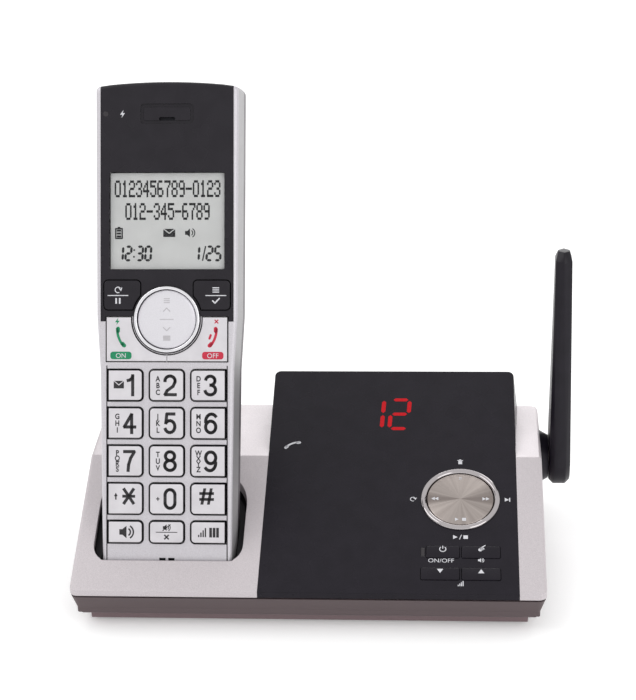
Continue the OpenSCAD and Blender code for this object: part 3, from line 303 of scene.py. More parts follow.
def lines_mark(size):
    """Three lines of a list."""
    return moved(sum((bar(1.0, 0.16, y=0.32 * i) for i in (-1, 0, 1)), []), scale=size)


def levels_mark(size):
    """Bars of growing height."""
    count, pitch = 4, 0.25
    bars = []
    for i in range(count):
        height = (i + 1) / count
        bars += bar(0.6 * pitch, height, x=pitch * (i - (count - 1) / 2), y=(height - 1) / 2)
    return moved(bars, scale=size)


def chevron(size):
    """An open arrowhead that points up."""
    return moved(stroke([(-0.5, -0.25), (0, 0.25), (0.5, -0.25)], 0.16), scale=size)


def star_mark(size):
    """Two steep crossing bars with a level one through them."""
    steep = bar(0.16, 1.0)
    return moved(moved(steep, turn=34) + moved(steep, turn=-34) + bar(0.68, 0.15), scale=size)


def hash_mark(size):
    """Two leaning upright bars over two level ones."""
    upright = [[(x + 0.18 * y, y) for x, y in shape] for s in (-1, 1) for shape in bar(0.18, 1.0, x=0.2 * s)]
    level = bar(0.9, 0.17, y=0.18) + bar(0.9, 0.17, y=-0.18)
    return moved(upright + level, scale=size)


# Letters and digits

# Height of a capital letter in Blender's typeface at the size 1
CAPITAL = 0.72


def glyphs(text, height, weight=0.0, squeeze=1.0):
    """A centred line of letters in Blender's own typeface, by the height of its capitals."""
    curve = bpy.data.curves.new("letters", "FONT")
    curve.body = text
    curve.offset = weight
    curve.align_x, curve.align_y = "CENTER", "BOTTOM_BASELINE"
    holder = put("letters", curve)
    solved = holder.evaluated_get(bpy.context.evaluated_depsgraph_get())
    mesh = solved.to_mesh()
    scale = height / CAPITAL
    corners = [(v.co.x * scale * squeeze, v.co.y * scale - height / 2) for v in mesh.vertices]
    shapes = [[corners[i] for i in p.vertices] for p in mesh.polygons]
    solved.to_mesh_clear()
    bpy.data.objects.remove(holder)
    bpy.data.curves.remove(curve)
    return shapes


def bow(x, y, rx, ry, start, end, count=16):
    """Points along an arc of an ellipse between two angles in degrees."""
    angles = [math.radians(start + (end - start) * i / count) for i in range(count + 1)]
    return [(x + rx * math.cos(a), y + ry * math.sin(a)) for a in angles]


# Middle lines of the digits, one unit wide and two high
DIGIT_LINES = {
    "0": [bow(0, 0.4, 0.49, 0.6, 0, 180) + bow(0, -0.4, 0.49, 0.6, 180, 360) + [(0.49, 0.4)]],
    "1": [[(-0.42, 0.5), (-0.2, 0.56), (0.02, 0.74), (0.1, 1)], [(0.1, 1.1), (0.1, -1.1)]],
    "2": [bow(0, 0.48, 0.5, 0.52, 185, -20) + [(0.3, -0.1), (-0.3, -0.58), (-0.5, -1), (0.6, -1)]],
    "3": [bow(-0.04, 0.52, 0.46, 0.48, 170, -90), bow(-0.04, -0.48, 0.52, 0.52, 90, -170)],
    "4": [[(0.22, -1.1), (0.22, 0.95), (-0.52, -0.42), (0.6, -0.42)]],
    "5": [[(0.46, 1), (-0.32, 1), (-0.42, -0.02)] + bow(-0.02, -0.36, 0.5, 0.64, 140, -160)],
    "6": [bow(0, -0.38, 0.5, 0.62, 90, 450, 28), bow(0.08, 0.18, 0.58, 0.82, 40, 185)],
    "7": [[(-0.55, 1), (0.5, 1), (0.12, 0.3), (-0.08, -0.4), (-0.14, -1.1)]],
    "8": [bow(0, 0.53, 0.45, 0.47, 90, 450, 28), bow(0, -0.47, 0.52, 0.53, 90, 450, 28)],
}
DIGIT_LINES["9"] = [[(-x, -y) for x, y in line] for line in DIGIT_LINES["6"]]


def drawn_digit(digit, w, h, thick):
    """A digit of one line width, by its whole width and height."""
    x, y = w - thick, (h - thick) / 2
    return sum((stroke([(px * x, py * y) for px, py in line], thick) for line in DIGIT_LINES[digit]), [])


# The lit bars of each digit, named from the top clockwise with the middle one last
SEGMENTS = {
    "0": "abcdef", "1": "bc", "2": "abged", "3": "abgcd", "4": "fgbc",
    "5": "afgcd", "6": "afgedc", "7": "abc", "8": "abcdefg", "9": "abcdfg",
}


def segment_digit(digit, w, h, thick, apart):
    """One digit of seven pointed bars that keep a share of their thickness from the corners."""
    x, y, lap = w / 2, h / 2, thick * apart
    ends = {
        "a": ((-x, y), (x, y)), "g": ((-x, 0), (x, 0)), "d": ((-x, -y), (x, -y)),
        "f": ((-x, y), (-x, 0)), "b": ((x, y), (x, 0)), "e": ((-x, 0), (-x, -y)), "c": ((x, 0), (x, -y)),
    }
    shapes = []
    for name in SEGMENTS[digit]:
        a, b = (Vector(p) for p in ends[name])
        ahead = (b - a).normalized()
        side = Vector((-ahead.y, ahead.x)) * thick / 2
        a, b = a + ahead * lap, b - ahead * lap
        tip = ahead * thick / 2
        corners = (a, a + tip - side, b - tip - side, b, b - tip + side, a + tip + side)
        shapes.append([tuple(p) for p in corners])
    return shapes


def segment_number(text, w, h, thick, pitch, slant=0.0, apart=0.1):
    """A centred number in seven-bar digits that leans to the right by the given share of its height."""
    shapes = []
    for i, digit in enumerate(text):
        shapes += moved(segment_digit(digit, w, h, thick, apart), x=(i - (len(text) - 1) / 2) * pitch)
    return [[(x + slant * y, y) for x, y in shape] for shape in shapes]


# Rows of the display's digits from the top, each with its five dots as the bits of a number,
# and the width of a dot as a share of its pitch, so that dots side by side run together
DOT_ROWS = {
    "0": (14, 17, 17, 17, 17, 17, 14), "1": (4, 12, 4, 4, 4, 4, 14), "2": (14, 17, 1, 14, 16, 16, 31),
    "3": (14, 17, 1, 6, 1, 17, 14), "4": (2, 6, 10, 18, 31, 2, 2), "5": (31, 16, 30, 1, 1, 17, 14),
    "6": (14, 16, 16, 30, 17, 17, 14), "7": (31, 1, 2, 4, 4, 4, 4), "8": (14, 17, 17, 14, 17, 17, 14),
    "9": (14, 17, 17, 15, 1, 1, 14), "-": (0, 0, 0, 31, 0, 0, 0),
}
DOT = 1.4


def dot_number(text, pitch, rise):
    """A centred number in five by seven tall dots."""
    shapes = []
    for i, digit in enumerate(text):
        start = (i - len(text) / 2) * 6 * pitch
        spots = [(c, r) for r, row in enumerate(DOT_ROWS[digit]) for c in range(5) if row >> (4 - c) & 1]
        for c, r in spots:
            shapes += bar(pitch * DOT, rise, x=start + (c + 1) * pitch, y=(3 - r) * rise)
    return shapes


def lay(name, shapes, centre, face, body, ink):
    """Puts flat marks on a face about a centre, so that they move with a body."""
    mesh = bpy.data.meshes.new(name)
    corners, faces = [], []
    for shape in shapes:
        faces.append(range(len(corners), len(corners) + len(shape)))
        corners += [face @ (centre + Vector((x * MM, y * MM, PRINT_LIFT))) for x, y in shape]
    mesh.from_pydata(corners, [], faces)
    mesh.materials.append(ink)
    piece = put(name, mesh)
    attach(piece, body)
    return piece


# Materials

# The middle of a noise's range, where most of its values lie
NOISE_LOW = 0.35
NOISE_HIGH = 0.65

# How far up the lower casing the paler colour reaches, a painted glow of light thrown back by the floor onto
# its lowest band, and over how much it changes
PLINTH = 3.0
PLINTH_FADE = 0.5

# Where the darker sectors at the sides of a turned disc end, painted as the reflection of its brushing, how
# much darker they are, and its spokes' range
SHEEN_EDGE = 0.3
SHEEN_DROP = 0.3
SPOKES_LOW = 0.3
SPOKES_HIGH = 0.74


def linear(colour):
    """Linear values of a colour that is written as 0 to 255."""
    parts = [c / 255 for c in colour]
    return [p / 12.92 if p <= 0.04045 else ((p + 0.055) / 1.055) ** 2.4 for p in parts]


def new_material(name, colour, roughness, **sockets):
    """A material with its constant values on the shader's own sockets."""
    made = bpy.data.materials.new(name)
    made.use_nodes = True
    shader = made.node_tree.nodes["Principled BSDF"]
    shader.inputs["Base Color"].default_value = (*linear(colour), 1)
    shader.inputs["Roughness"].default_value = roughness
    for socket, value in sockets.items():
        shader.inputs[socket.replace("_", " ")].default_value = value
    return made


def add(made, kind, *ordered, operation=None, **named):
    """A new node of a material or world, with its inputs set to values or joined to other nodes' outputs."""
    node = made.node_tree.nodes.new(kind)
    if operation:
        node.operation = operation
    sockets = list(zip(node.inputs, ordered))
    sockets += [(node.inputs[name.replace("_", " ")], value) for name, value in named.items()]
    for socket, value in sockets:
        if isinstance(value, bpy.types.NodeSocket):
            made.node_tree.links.new(value, socket)
        else:
            socket.default_value = value
    return node


def join(made, output, socket):
    """Joins an output to a socket of the material's shader."""
    made.node_tree.links.new(output, made.node_tree.nodes["Principled BSDF"].inputs[socket])


def noise(made, size, detail=2.0):
    """Noise whose spots have about the given size in millimetres."""
    place = add(made, "ShaderNodeTexCoord").outputs["Object"]
    return add(made, "ShaderNodeTexNoise", Vector=place, Scale=1 / (size * MM), Detail=detail).outputs["Fac"]


def mix_colours(made, share, colour, other, socket):
    """Mixes two colours by the middle of a noise's range."""
    spread = add(made, "ShaderNodeMapRange", Value=share, From_Min=NOISE_LOW, From_Max=NOISE_HIGH)
    mix = add(made, "ShaderNodeMix")
    mix.data_type = "RGBA"
    made.node_tree.links.new(spread.outputs["Result"], mix.inputs[0])
    mix.inputs[6].default_value = (*linear(colour), 1)
    mix.inputs[7].default_value = (*linear(other), 1)
    join(made, mix.outputs[2], socket)


def mottle(made, colour, other, size):
    """Lets the colour drift towards another in soft spots."""
    mix_colours(made, noise(made, size), colour, other, "Base Color")


def uneven_gloss(made, low, high, size):
    """Lets the roughness drift between two values."""
    spread = add(made, "ShaderNodeMapRange", Value=noise(made, size), To_Min=low, To_Max=high)
    join(made, spread.outputs["Result"], "Roughness")


def grain(made, size, depth, edge=0.25):
    """Fine bumps of a size and depth in millimetres, over edges that catch the light as if rounded."""
    bevel = add(made, "ShaderNodeBevel", Radius=edge * MM)
    bevel.samples = 4
    bump = add(
        made, "ShaderNodeBump", Height=noise(made, size), Strength=1.0, Distance=depth * MM,
        Normal=bevel.outputs["Normal"],
    )
    join(made, bump.outputs["Normal"], "Normal")


def silver_paint(name, colour, flake, roughness):
    """Satin metallic paint with fine flakes."""
    made = new_material(name, colour, roughness, Metallic=0.25)
    mottle(made, colour, flake, 0.22)
    uneven_gloss(made, roughness - 0.06, roughness + 0.06, 4)
    grain(made, 0.18, 0.006)
    return made


def moulded(name, colour, other, roughness, texture=0.35, depth=0.01, edge=0.3, **sockets):
    """Moulded plastic with a fine spark-eroded texture and uneven gloss."""
    made = new_material(name, colour, roughness, **sockets)
    mottle(made, colour, other, 6)
    uneven_gloss(made, roughness - 0.05, roughness + 0.07, 9)
    grain(made, texture, depth, edge)
    return made


def skirt_plastic(name, colour, below):
    """Moulded plastic of the lower casing, paler on its plinth as painted light thrown back by the floor."""
    made = moulded(name, colour, [c + 5 for c in colour], 0.5)
    place = add(made, "ShaderNodeTexCoord").outputs["Object"]
    height = add(made, "ShaderNodeSeparateXYZ", Vector=place).outputs["Z"]
    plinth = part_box("base_bottom_housing")[0].z + PLINTH * MM
    # Paler up to the plinth's top, as painted light from the floor
    share = add(
        made, "ShaderNodeMapRange", Value=height, From_Min=plinth, From_Max=plinth + PLINTH_FADE * MM,
        To_Min=NOISE_LOW, To_Max=NOISE_HIGH,
    )
    mix_colours(made, share.outputs["Result"], below, colour, "Base Color")
    return made


def metal(name, colour, roughness, size=0.5, depth=0.003, edge=0.15):
    """Plain metal with faint marks of handling."""
    made = new_material(name, colour, roughness, Metallic=1.0)
    uneven_gloss(made, max(roughness - 0.05, 0.02), roughness + 0.06, 2.5)
    grain(made, size, depth, edge)
    return made


def turned_metal(name, colour, other):
    """Metal brushed in circles about its own axis, with fine spokes of brushing and darker sectors at its
    sides painted as the reflection of the brushing.
    """
    made = new_material(name, colour, 0.32, Metallic=1.0, Anisotropic=0.8, Anisotropic_Rotation=0.25)
    tangent = add(made, "ShaderNodeTangent")
    tangent.direction_type, tangent.axis = "RADIAL", "Z"
    join(made, tangent.outputs["Tangent"], "Tangent")
    place = add(made, "ShaderNodeTexCoord").outputs["Object"]
    flat = add(made, "ShaderNodeVectorMath", place, (1, 1, 0), operation="MULTIPLY").outputs[0]
    spoke = add(made, "ShaderNodeVectorMath", flat, operation="NORMALIZE").outputs[0]
    streaks = add(made, "ShaderNodeTexNoise", Vector=spoke, Scale=5.0, Detail=4.0).outputs["Fac"]
    spokes = add(made, "ShaderNodeMapRange", Value=streaks, To_Min=SPOKES_LOW, To_Max=SPOKES_HIGH)
    # Darker sectors at the left and right, a painted reflection
    steep = add(made, "ShaderNodeVectorMath", spoke, operation="ABSOLUTE").outputs[0]
    rise = add(made, "ShaderNodeSeparateXYZ", Vector=steep).outputs["Y"]
    shade = add(made, "ShaderNodeMapRange", Value=rise, From_Max=SHEEN_EDGE, To_Min=-SHEEN_DROP, To_Max=0.0)
    share = add(made, "ShaderNodeMath", spokes.outputs["Result"], shade.outputs["Result"], operation="ADD")
    mix_colours(made, share.outputs[0], colour, other, "Base Color")
    return made


def clear_plastic(name):
    """A clear window, mostly see-through with a glossy face."""
    made = new_material(name, (60, 62, 64), 0.06, Alpha=0.06)
    uneven_gloss(made, 0.04, 0.1, 8)
    return made


def ink(name, colour, other):
    """Printed paint that is a little uneven."""
    made = new_material(name, colour, 0.45)
    mottle(made, colour, other, 0.6)
    return made


def glow(name, colour, strength):
    """A lit segment."""
    made = new_material(name, colour, 0.5, Emission_Strength=strength, Specular_IOR_Level=0.1)
    made.node_tree.nodes["Principled BSDF"].inputs["Emission Color"].default_value = (*linear(colour), 1)
    mottle(made, colour, [c * 0.9 for c in colour], 0.8)
    return made


def board(name):
    """A green circuit board with faint tracks."""
    made = new_material(name, (46, 104, 58), 0.4)
    mottle(made, (38, 92, 50), (64, 128, 74), 1.5)
    grain(made, 0.8, 0.02)
    return made


# What each material slot of the record looks like
finishes = {
    "silver_deck": silver_paint("silver_deck", (190, 183, 186), (212, 205, 208), 0.36),
    "black_panel": moulded(
        "black_panel", (22, 18, 27), (26, 22, 31), 0.26, texture=0.5, depth=0.002, Specular_IOR_Level=0.2,
    ),
    # The second colour is the plinth's painted glow of light from the floor
    "dark_skirt": skirt_plastic("dark_skirt", (88, 75, 77), (126, 107, 110)),
    "foot_rubber": moulded("foot_rubber", (52, 46, 48), (60, 54, 56), 0.85, texture=0.5, depth=0.02),
    "screw_steel": metal("screw_steel", (176, 174, 170), 0.3),
    "well_black": moulded("well_black", (24, 22, 26), (30, 28, 32), 0.5, Specular_IOR_Level=0.25),
    "contact_metal": metal("contact_metal", (212, 184, 120), 0.25),
    "board_green": board("board_green"),
    "mat_rubber": moulded("mat_rubber", (138, 138, 132), (150, 150, 144), 0.8, texture=0.5, depth=0.02),
    "speaker_metal": metal("speaker_metal", (52, 52, 56), 0.5),
    "display_red": moulded("display_red", (60, 22, 26), (72, 28, 32), 0.35),
    "chrome_trim": metal("chrome_trim", (176, 171, 172), 0.08, size=1.2, depth=0.001, edge=0.1),
    "disc_metal": turned_metal("disc_metal", (136, 127, 123), (178, 169, 164)),
    "light_smoke": moulded("light_smoke", (36, 31, 36), (42, 37, 42), 0.2, texture=0.5, depth=0.002),
    "antenna_black": moulded("antenna_black", (20, 16, 25), (26, 22, 31), 0.36, Specular_IOR_Level=0.25),
    "handset_silver": silver_paint("handset_silver", (196, 192, 197), (214, 211, 216), 0.34),
    "handset_dark": moulded("handset_dark", (76, 71, 77), (80, 75, 81), 0.42),
    "fascia_black": moulded(
        "fascia_black", (30, 27, 33), (34, 31, 37), 0.26, texture=0.5, depth=0.002, Specular_IOR_Level=0.25,
    ),
    "lens_clear": clear_plastic("lens_clear"),
    "lcd_grey": moulded("lcd_grey", (212, 213, 212), (218, 219, 218), 0.5, texture=0.4, depth=0.002),
    "key_pearl": moulded("key_pearl", (212, 209, 213), (220, 217, 221), 0.32, texture=0.4, depth=0.004),
    "battery_wrap": moulded("battery_wrap", (58, 120, 70), (70, 134, 82), 0.4),
}

# Print, and the finishes of pieces that differ from their slot's
dark_ink = ink("dark_ink", (24, 21, 25), (32, 29, 33))
white_ink = ink("white_ink", (222, 222, 226), (206, 206, 212))
green_ink = ink("green_ink", (0, 126, 82), (10, 138, 92))
red_ink = ink("red_ink", (190, 30, 58), (200, 42, 68))
faint_ink = ink("faint_ink", (186, 183, 187), (192, 189, 193))
display_ink = ink("display_ink", (6, 6, 10), (12, 12, 16))
nav_pearl = silver_paint("nav_pearl", (218, 216, 221), (226, 224, 229), 0.3)
nav_chrome = metal("nav_chrome", (228, 227, 230), 0.14, size=1.2, depth=0.001, edge=0.1)
# A darker copy of the casing's silver, painted as shade on its sides
shaded_casing_side = silver_paint("shaded_casing_side", (158, 156, 158), (176, 174, 176), 0.4)
lit_red = glow("lit_red", (158, 16, 24), 0.75)


def finish_nodes():
    """Gives each CAD node the finish of its slot."""
    slots = {part["node"]: part["material_slot"] for part in frame["record"]["subparts"]}
    for name, node in frame["nodes"].items():
        for place in node.material_slots:
            place.material = finishes[slots[name]]
    return slots


slot_of = finish_nodes()


# Keys and discs with rounded edges

def stand_in(node, mesh, place=None):
    """A piece of its own mesh that stands for a CAD node, with its own axes at a place where one is given."""
    piece = put(node + "_dressed", mesh)
    if place:
        mesh.transform(place.inverted())
        piece.matrix_world = place
    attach(piece, frame["nodes"][node]["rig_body"])
    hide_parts(node)
    return piece


def softened(node, width, finish=None, place=None, segments=3, shade_sides=None, rings=0):
    """A copy of a CAD node with its edges rounded, which stands for the node.

    Where a face is given, its sides and the lower part of its rounded edge, which don't look out of it, are
    painted dark as the shade round the piece. The top of a round piece can be parted into rings.
    """
    source = frame["nodes"][node]
    shape = bmesh.new()
    shape.from_mesh(source.data)
    bmesh.ops.remove_doubles(shape, verts=shape.verts, dist=WELD)
    bmesh.ops.dissolve_limit(shape, angle_limit=FLAT, verts=shape.verts, edges=shape.edges)
    sharp = [e for e in shape.edges if len(e.link_faces) == 2 and e.calc_face_angle() > SHARP]
    bmesh.ops.bevel(
        shape, geom=sharp, offset=width * MM, segments=segments, profile=0.5, affect="EDGES",
        clamp_overlap=True,
    )
    if rings:
        top = max(shape.faces, key=lambda f: f.normal.dot(HANDSET.col[2]) * f.calc_area())
        apart = math.sqrt(top.calc_area() / math.pi) / (rings + 0.5)
        for _ in range(rings):
            bmesh.ops.inset_region(shape, faces=[top], thickness=apart, use_even_offset=True)
    mesh = bpy.data.meshes.new(node + "_dressed")
    shape.to_mesh(mesh)
    shape.free()
    mesh.shade_smooth()
    mesh.set_sharp_from_angle(angle=SMOOTH)
    mesh.materials.append(finish or finishes[slot_of[node]])
    # Sides and lower edges in dark plastic, as painted shade round the key
    if shade_sides:
        mesh.materials.append(finishes["well_black"])
        for side in mesh.polygons:
            side.material_index = int((shade_sides.transposed() @ side.normal).z < SHADE_FACING)
    return stand_in(node, mesh, place)


# Width beside the outer keys that still belongs to the seam, where the casing's ends begin, and how far to
# the front a face has to look to be painted as the front
HOLE_WALL = 0.7
ENDS = 78
FRONT = 0.4


def make_front_casing():
    """The painted front casing, with bare dark plastic in its key holes, seams and inside that also stands as
    painted shade in the gaps round the keys, and its sides in a darker copy of its silver as painted shade.
    """
    node = "handset_front_housing"
    low, high = local_box(node, HANDSET)
    middle = (low + high) / 2
    mesh = frame["nodes"][node].data.copy()
    mesh.materials.clear()
    mesh.materials.append(finishes[slot_of[node]])
    mesh.materials.append(finishes["well_black"])
    mesh.materials.append(shaded_casing_side)
    reach = local_box("key_6", HANDSET)[1].x - middle.x + HOLE_WALL * MM
    for face in mesh.polygons:
        at = HANDSET.transposed() @ face.center - middle
        normal = HANDSET.transposed() @ face.normal
        inside = abs(at.x) < reach and at.z < high.z - middle.z - HOLE_WALL / 2 * MM
        beside = normal.x * at.x > 0 and abs(at.x) > reach
        ended = normal.y * at.y > 0 and abs(at.y) > ENDS * MM
        # Key holes, seams and inside in bare dark plastic, also painted shade in the gaps round the keys
        if inside or not (normal.z > FRONT or beside or ended):
            face.material_index = 1
        # Sides in the darker silver, as painted shade
        elif normal.z < FRONT and abs(normal.x) > FRONT:
            face.material_index = 2
    stand_in(node, mesh)


# Sign and letters of each dialling key, their sizes, and their places on the key
DIAL = {
    "key_1": ("1", ""), "key_2": ("2", "ABC"), "key_3": ("3", "DEF"), "key_4": ("4", "GHI"),
    "key_5": ("5", "JKL"), "key_6": ("6", "MNO"), "key_7": ("7", "PQRS"), "key_8": ("8", "TUV"),
    "key_9": ("9", "WXYZ"), "key_star": ("*", ""), "key_0": ("0", "+"), "key_pound": ("#", ""),
}
DIGIT_W = 4.4
DIGIT_H = 7.2
DIGIT_LINE = 1.05
LETTER_H = 1.75
LETTER_PITCH = 2.25
LETTER_WEIGHT = 0.03
LETTER_SQUEEZE = 0.85
LETTER_X = -2.9
LETTER_ROOM = 3.2
SIGN_X = 1.15
ONE_X = 1.9
STAR_SIZE = 6.3
STAR_AT = (0.9, 0.8)
HASH_SIZE = 5.4
HASH_AT = (-0.2, 0.9)


def dial_marks(sign, letters):
    """The sign at a key's right with small letters one below the other at its left."""
    if sign == "*":
        shapes = moved(star_mark(STAR_SIZE), *STAR_AT)
        shapes += moved(triangle(1.2, 1.2), x=-3.4, y=1.4, turn=90) + bar(0.45, 1.3, x=-3.4, y=0.3)
    elif sign == "#":
        shapes = moved(hash_mark(HASH_SIZE), *HASH_AT)
    else:
        digit = drawn_digit(sign, DIGIT_W, DIGIT_H, DIGIT_LINE)
        shapes = moved(digit, x=ONE_X if sign == "1" else SIGN_X)
    for i, letter in enumerate(letters):
        height = ((len(letters) - 1) / 2 - i) * LETTER_PITCH * min(1, LETTER_ROOM / len(letters))
        shapes += moved(glyphs(letter, LETTER_H, LETTER_WEIGHT, LETTER_SQUEEZE), x=LETTER_X, y=height)
    if sign == "1":
        shapes += moved(envelope(3.4, 2.5), x=-2.4, y=0.2)
    return shapes


def make_dial_keys():
    """The twelve pale keys with their signs."""
    for node, (sign, letters) in DIAL.items():
        softened(node, KEY_ROUND, shade_sides=HANDSET)
        shapes, middle = dial_marks(sign, letters), top_centre(node, HANDSET)
        lay(node + "_mark", shapes, middle, HANDSET, node, dark_ink)


def make_short_keys():
    """The loudspeaker, mute and tone keys at the bottom."""
    muted = moved(speaker_mark(2.4), x=-0.2, y=1.55) + moved(bar(3.4, 0.3), y=1.55, turn=38)
    muted += bar(7.2, 0.25) + moved(cross_mark(2.1), y=-1.6)
    tones = moved(levels_mark(3.0), x=-1.7)
    tones += sum((bar(0.9, 3.2, x=2.3 + s * 1.15) for s in (-1, 0, 1)), [])
    marks = {"key_speaker": moved(speaker_mark(4.6), x=-0.3), "key_mute": muted, "key_equalizer": tones}
    for node, shapes in marks.items():
        softened(node, KEY_ROUND, shade_sides=HANDSET)
        lay(node + "_mark", shapes, top_centre(node, HANDSET), HANDSET, node, dark_ink)


def near_disc(node):
    """The middle of the handset's disc at the height of a key's top."""
    middle = top_centre("nav_ring", HANDSET)
    return Vector((middle.x, middle.y, top_centre(node, HANDSET).z))


# Place of the soft keys' marks from the disc's middle, the line between them, and how far they lie from it
SOFT_MARK_X = 16.3
SOFT_MARK_Y = 7.9
SOFT_RULE = (6.9, 0.3)
SOFT_ABOVE = 1.85
SOFT_BELOW = -1.8


def make_soft_keys():
    """The two black keys beside the disc, each with two marks and a line between."""
    above = {"redial_key": loop_mark(2.6), "menu_key": lines_mark(2.2)}
    pause = bar(0.55, 1.9, x=-0.6) + bar(0.55, 1.9, x=0.6)
    tick = stroke([(-1.1, 0.1), (-0.3, -0.7), (1.2, 0.9)], 0.45)
    below = {"redial_key": pause, "menu_key": tick}
    for node, side in (("redial_key", -1), ("menu_key", 1)):
        softened(node, BLACK_KEY_ROUND)
        shapes = moved(above[node], y=SOFT_ABOVE) + bar(*SOFT_RULE) + moved(below[node], y=SOFT_BELOW)
        marks = moved(shapes, x=SOFT_MARK_X * side, y=SOFT_MARK_Y)
        lay(node + "_mark", marks, near_disc(node), HANDSET, node, white_ink)


# Places of the talk keys' marks from the disc's middle: the handset, the coloured label and the small sign
RECEIVER = 6.9
RECEIVER_X = 15.4
RECEIVER_Y = -6.15
LABEL_SIZE = (7.1, 2.5, 0.9)
LABEL_X = 15.3
LABEL_Y = -11.95
LABEL_WORD = 1.6
EXTRA_X = 16.5
EXTRA_Y = -0.7


def make_talk_keys():
    """The pale keys with a green and a red handset over a coloured label."""
    marks = {
        "phone_key": (-1, green_ink, "ON", bolt_mark(2.4)),
        "off_key": (1, red_ink, "OFF", cross_mark(1.7)),
    }
    for node, (side, colour, word, extra) in marks.items():
        softened(node, TALK_ROUND, shade_sides=HANDSET)
        middle = near_disc(node)
        handset = moved(receiver_mark(RECEIVER), x=-0.6, turn=20)
        if node == "off_key":
            handset += moved(pill(1.9, 0.75), x=1.0, y=0.4, turn=110)
        handset = [[(-side * x, y) for x, y in shape] for shape in handset]
        shapes = moved(handset, x=RECEIVER_X * side, y=RECEIVER_Y)
        shapes += moved(label(*LABEL_SIZE), x=LABEL_X * side, y=LABEL_Y)
        shapes += moved(extra, x=EXTRA_X * side, y=EXTRA_Y)
        lay(node + "_mark", shapes, middle, HANDSET, node, colour)
        words = moved(glyphs(word, LABEL_WORD), x=LABEL_X * side, y=LABEL_Y)
        lay(node + "_word", words, middle + Vector((0, 0, PRINT_LIFT)), HANDSET, node, white_ink)


# How much of the slit the strip fills, and how deep it lies
SLIT_SHARE = 0.7
SLIT_DEPTH = 0.06


def fill_talk_split():
    """A pale strip in the slit between the talk keys, just below their tops."""
    low, high = local_box("phone_key", HANDSET)
    slit = (local_box("off_key", HANDSET)[0].x - high.x) / MM
    middle = near_disc("phone_key")
    bottom, top = (low.y - middle.y) / MM, (local_box("nav_ring", HANDSET)[0].y - middle.y) / MM
    strip = bar(slit * SLIT_SHARE, top - bottom - slit, y=(top + bottom) / 2)
    sunk = middle - Vector((0, 0, SLIT_DEPTH * MM))
    lay("talk_slit", strip, sunk, HANDSET, "handset", finishes["key_pearl"])


# The ring's black flange, painted dark as the shadow in the gap round the ring, the rounding of its chrome,
# its steps, and how many faces of its profile are dark, the flange's among them
FLANGE_T = 0.2
FLANGE_W = 0.35
RING_ROUND = 0.3
RING_STEPS = 96
SHADOW_FACES = 5


def make_nav_ring():
    """The chrome ring of the handset's disc, on a narrow flange painted black as the shadow round the ring.
    """
    node = "nav_ring"
    middle = top_centre(node, HANDSET)
    spots = [HANDSET.transposed() @ v.co - middle for v in frame["nodes"][node].data.vertices]
    radii = [math.hypot(s.x, s.y) for s in spots]
    bore, rim, deep = min(radii), max(radii), min(s.z for s in spots)
    sleeve = max(r for r, s in zip(radii, spots) if s.z < deep / 2)
    foot = min(s.z for r, s in zip(radii, spots) if r > rim - WELD)
    step, crown = foot + FLANGE_T * MM, rim - FLANGE_W * MM
    turn = RING_ROUND * MM
    bends = [math.radians(15 * i) for i in range(7)]
    profile = [(bore, deep), (sleeve, deep), (sleeve, foot), (rim, foot), (rim, step), (crown, step)]
    profile += [(crown - turn + turn * math.cos(a), turn * math.sin(a) - turn) for a in bends]
    profile += [(bore + turn - turn * math.sin(a), turn * math.cos(a) - turn) for a in bends]
    corners = [
        HANDSET @ (middle + Vector((r * math.cos(a), r * math.sin(a), z)))
        for a in (2 * math.pi * i / RING_STEPS for i in range(RING_STEPS)) for r, z in profile
    ]
    count = len(profile)
    faces = [
        (i * count + j, (i + 1) % RING_STEPS * count + j,
         (i + 1) % RING_STEPS * count + (j + 1) % count, i * count + (j + 1) % count)
        for i in range(RING_STEPS) for j in range(count)
    ]
    mesh = bpy.data.meshes.new(node + "_dressed")
    mesh.from_pydata(corners, [], faces)
    mesh.shade_smooth()
    mesh.set_sharp_from_angle(angle=SMOOTH)
    mesh.materials.append(nav_chrome)
    mesh.materials.append(finishes["well_black"])
    # The sleeve and the flange in dark plastic, the flange as painted shadow
    for i, face in enumerate(mesh.polygons):
        face.material_index = int(i % count < SHADOW_FACES)
    stand_in(node, mesh)


# How much lower the rim of the handset's disc is than its middle, how deep that reaches, and its rings
DOME_SAG = 0.5
DOME_DEPTH = 0.8
DOME_RINGS = 7


def dome(mesh, middle):
    """Lets what lies about the top of the handset's disc fall away from its middle."""
    radius = local_box("nav_disc", HANDSET)[1].x - middle.x
    for v in mesh.vertices:
        at = HANDSET.transposed() @ v.co - middle
        if at.z > -DOME_DEPTH * MM:
            v.co -= HANDSET @ Vector((0, 0, DOME_SAG * MM * (at.x ** 2 + at.y ** 2) / radius ** 2))


# How far the discs' signs lie from their middles
NAV_OUTER = 6.2
NAV_INNER = 3.2
MESSAGE_SIDE = 8.6
MESSAGE_END = 9


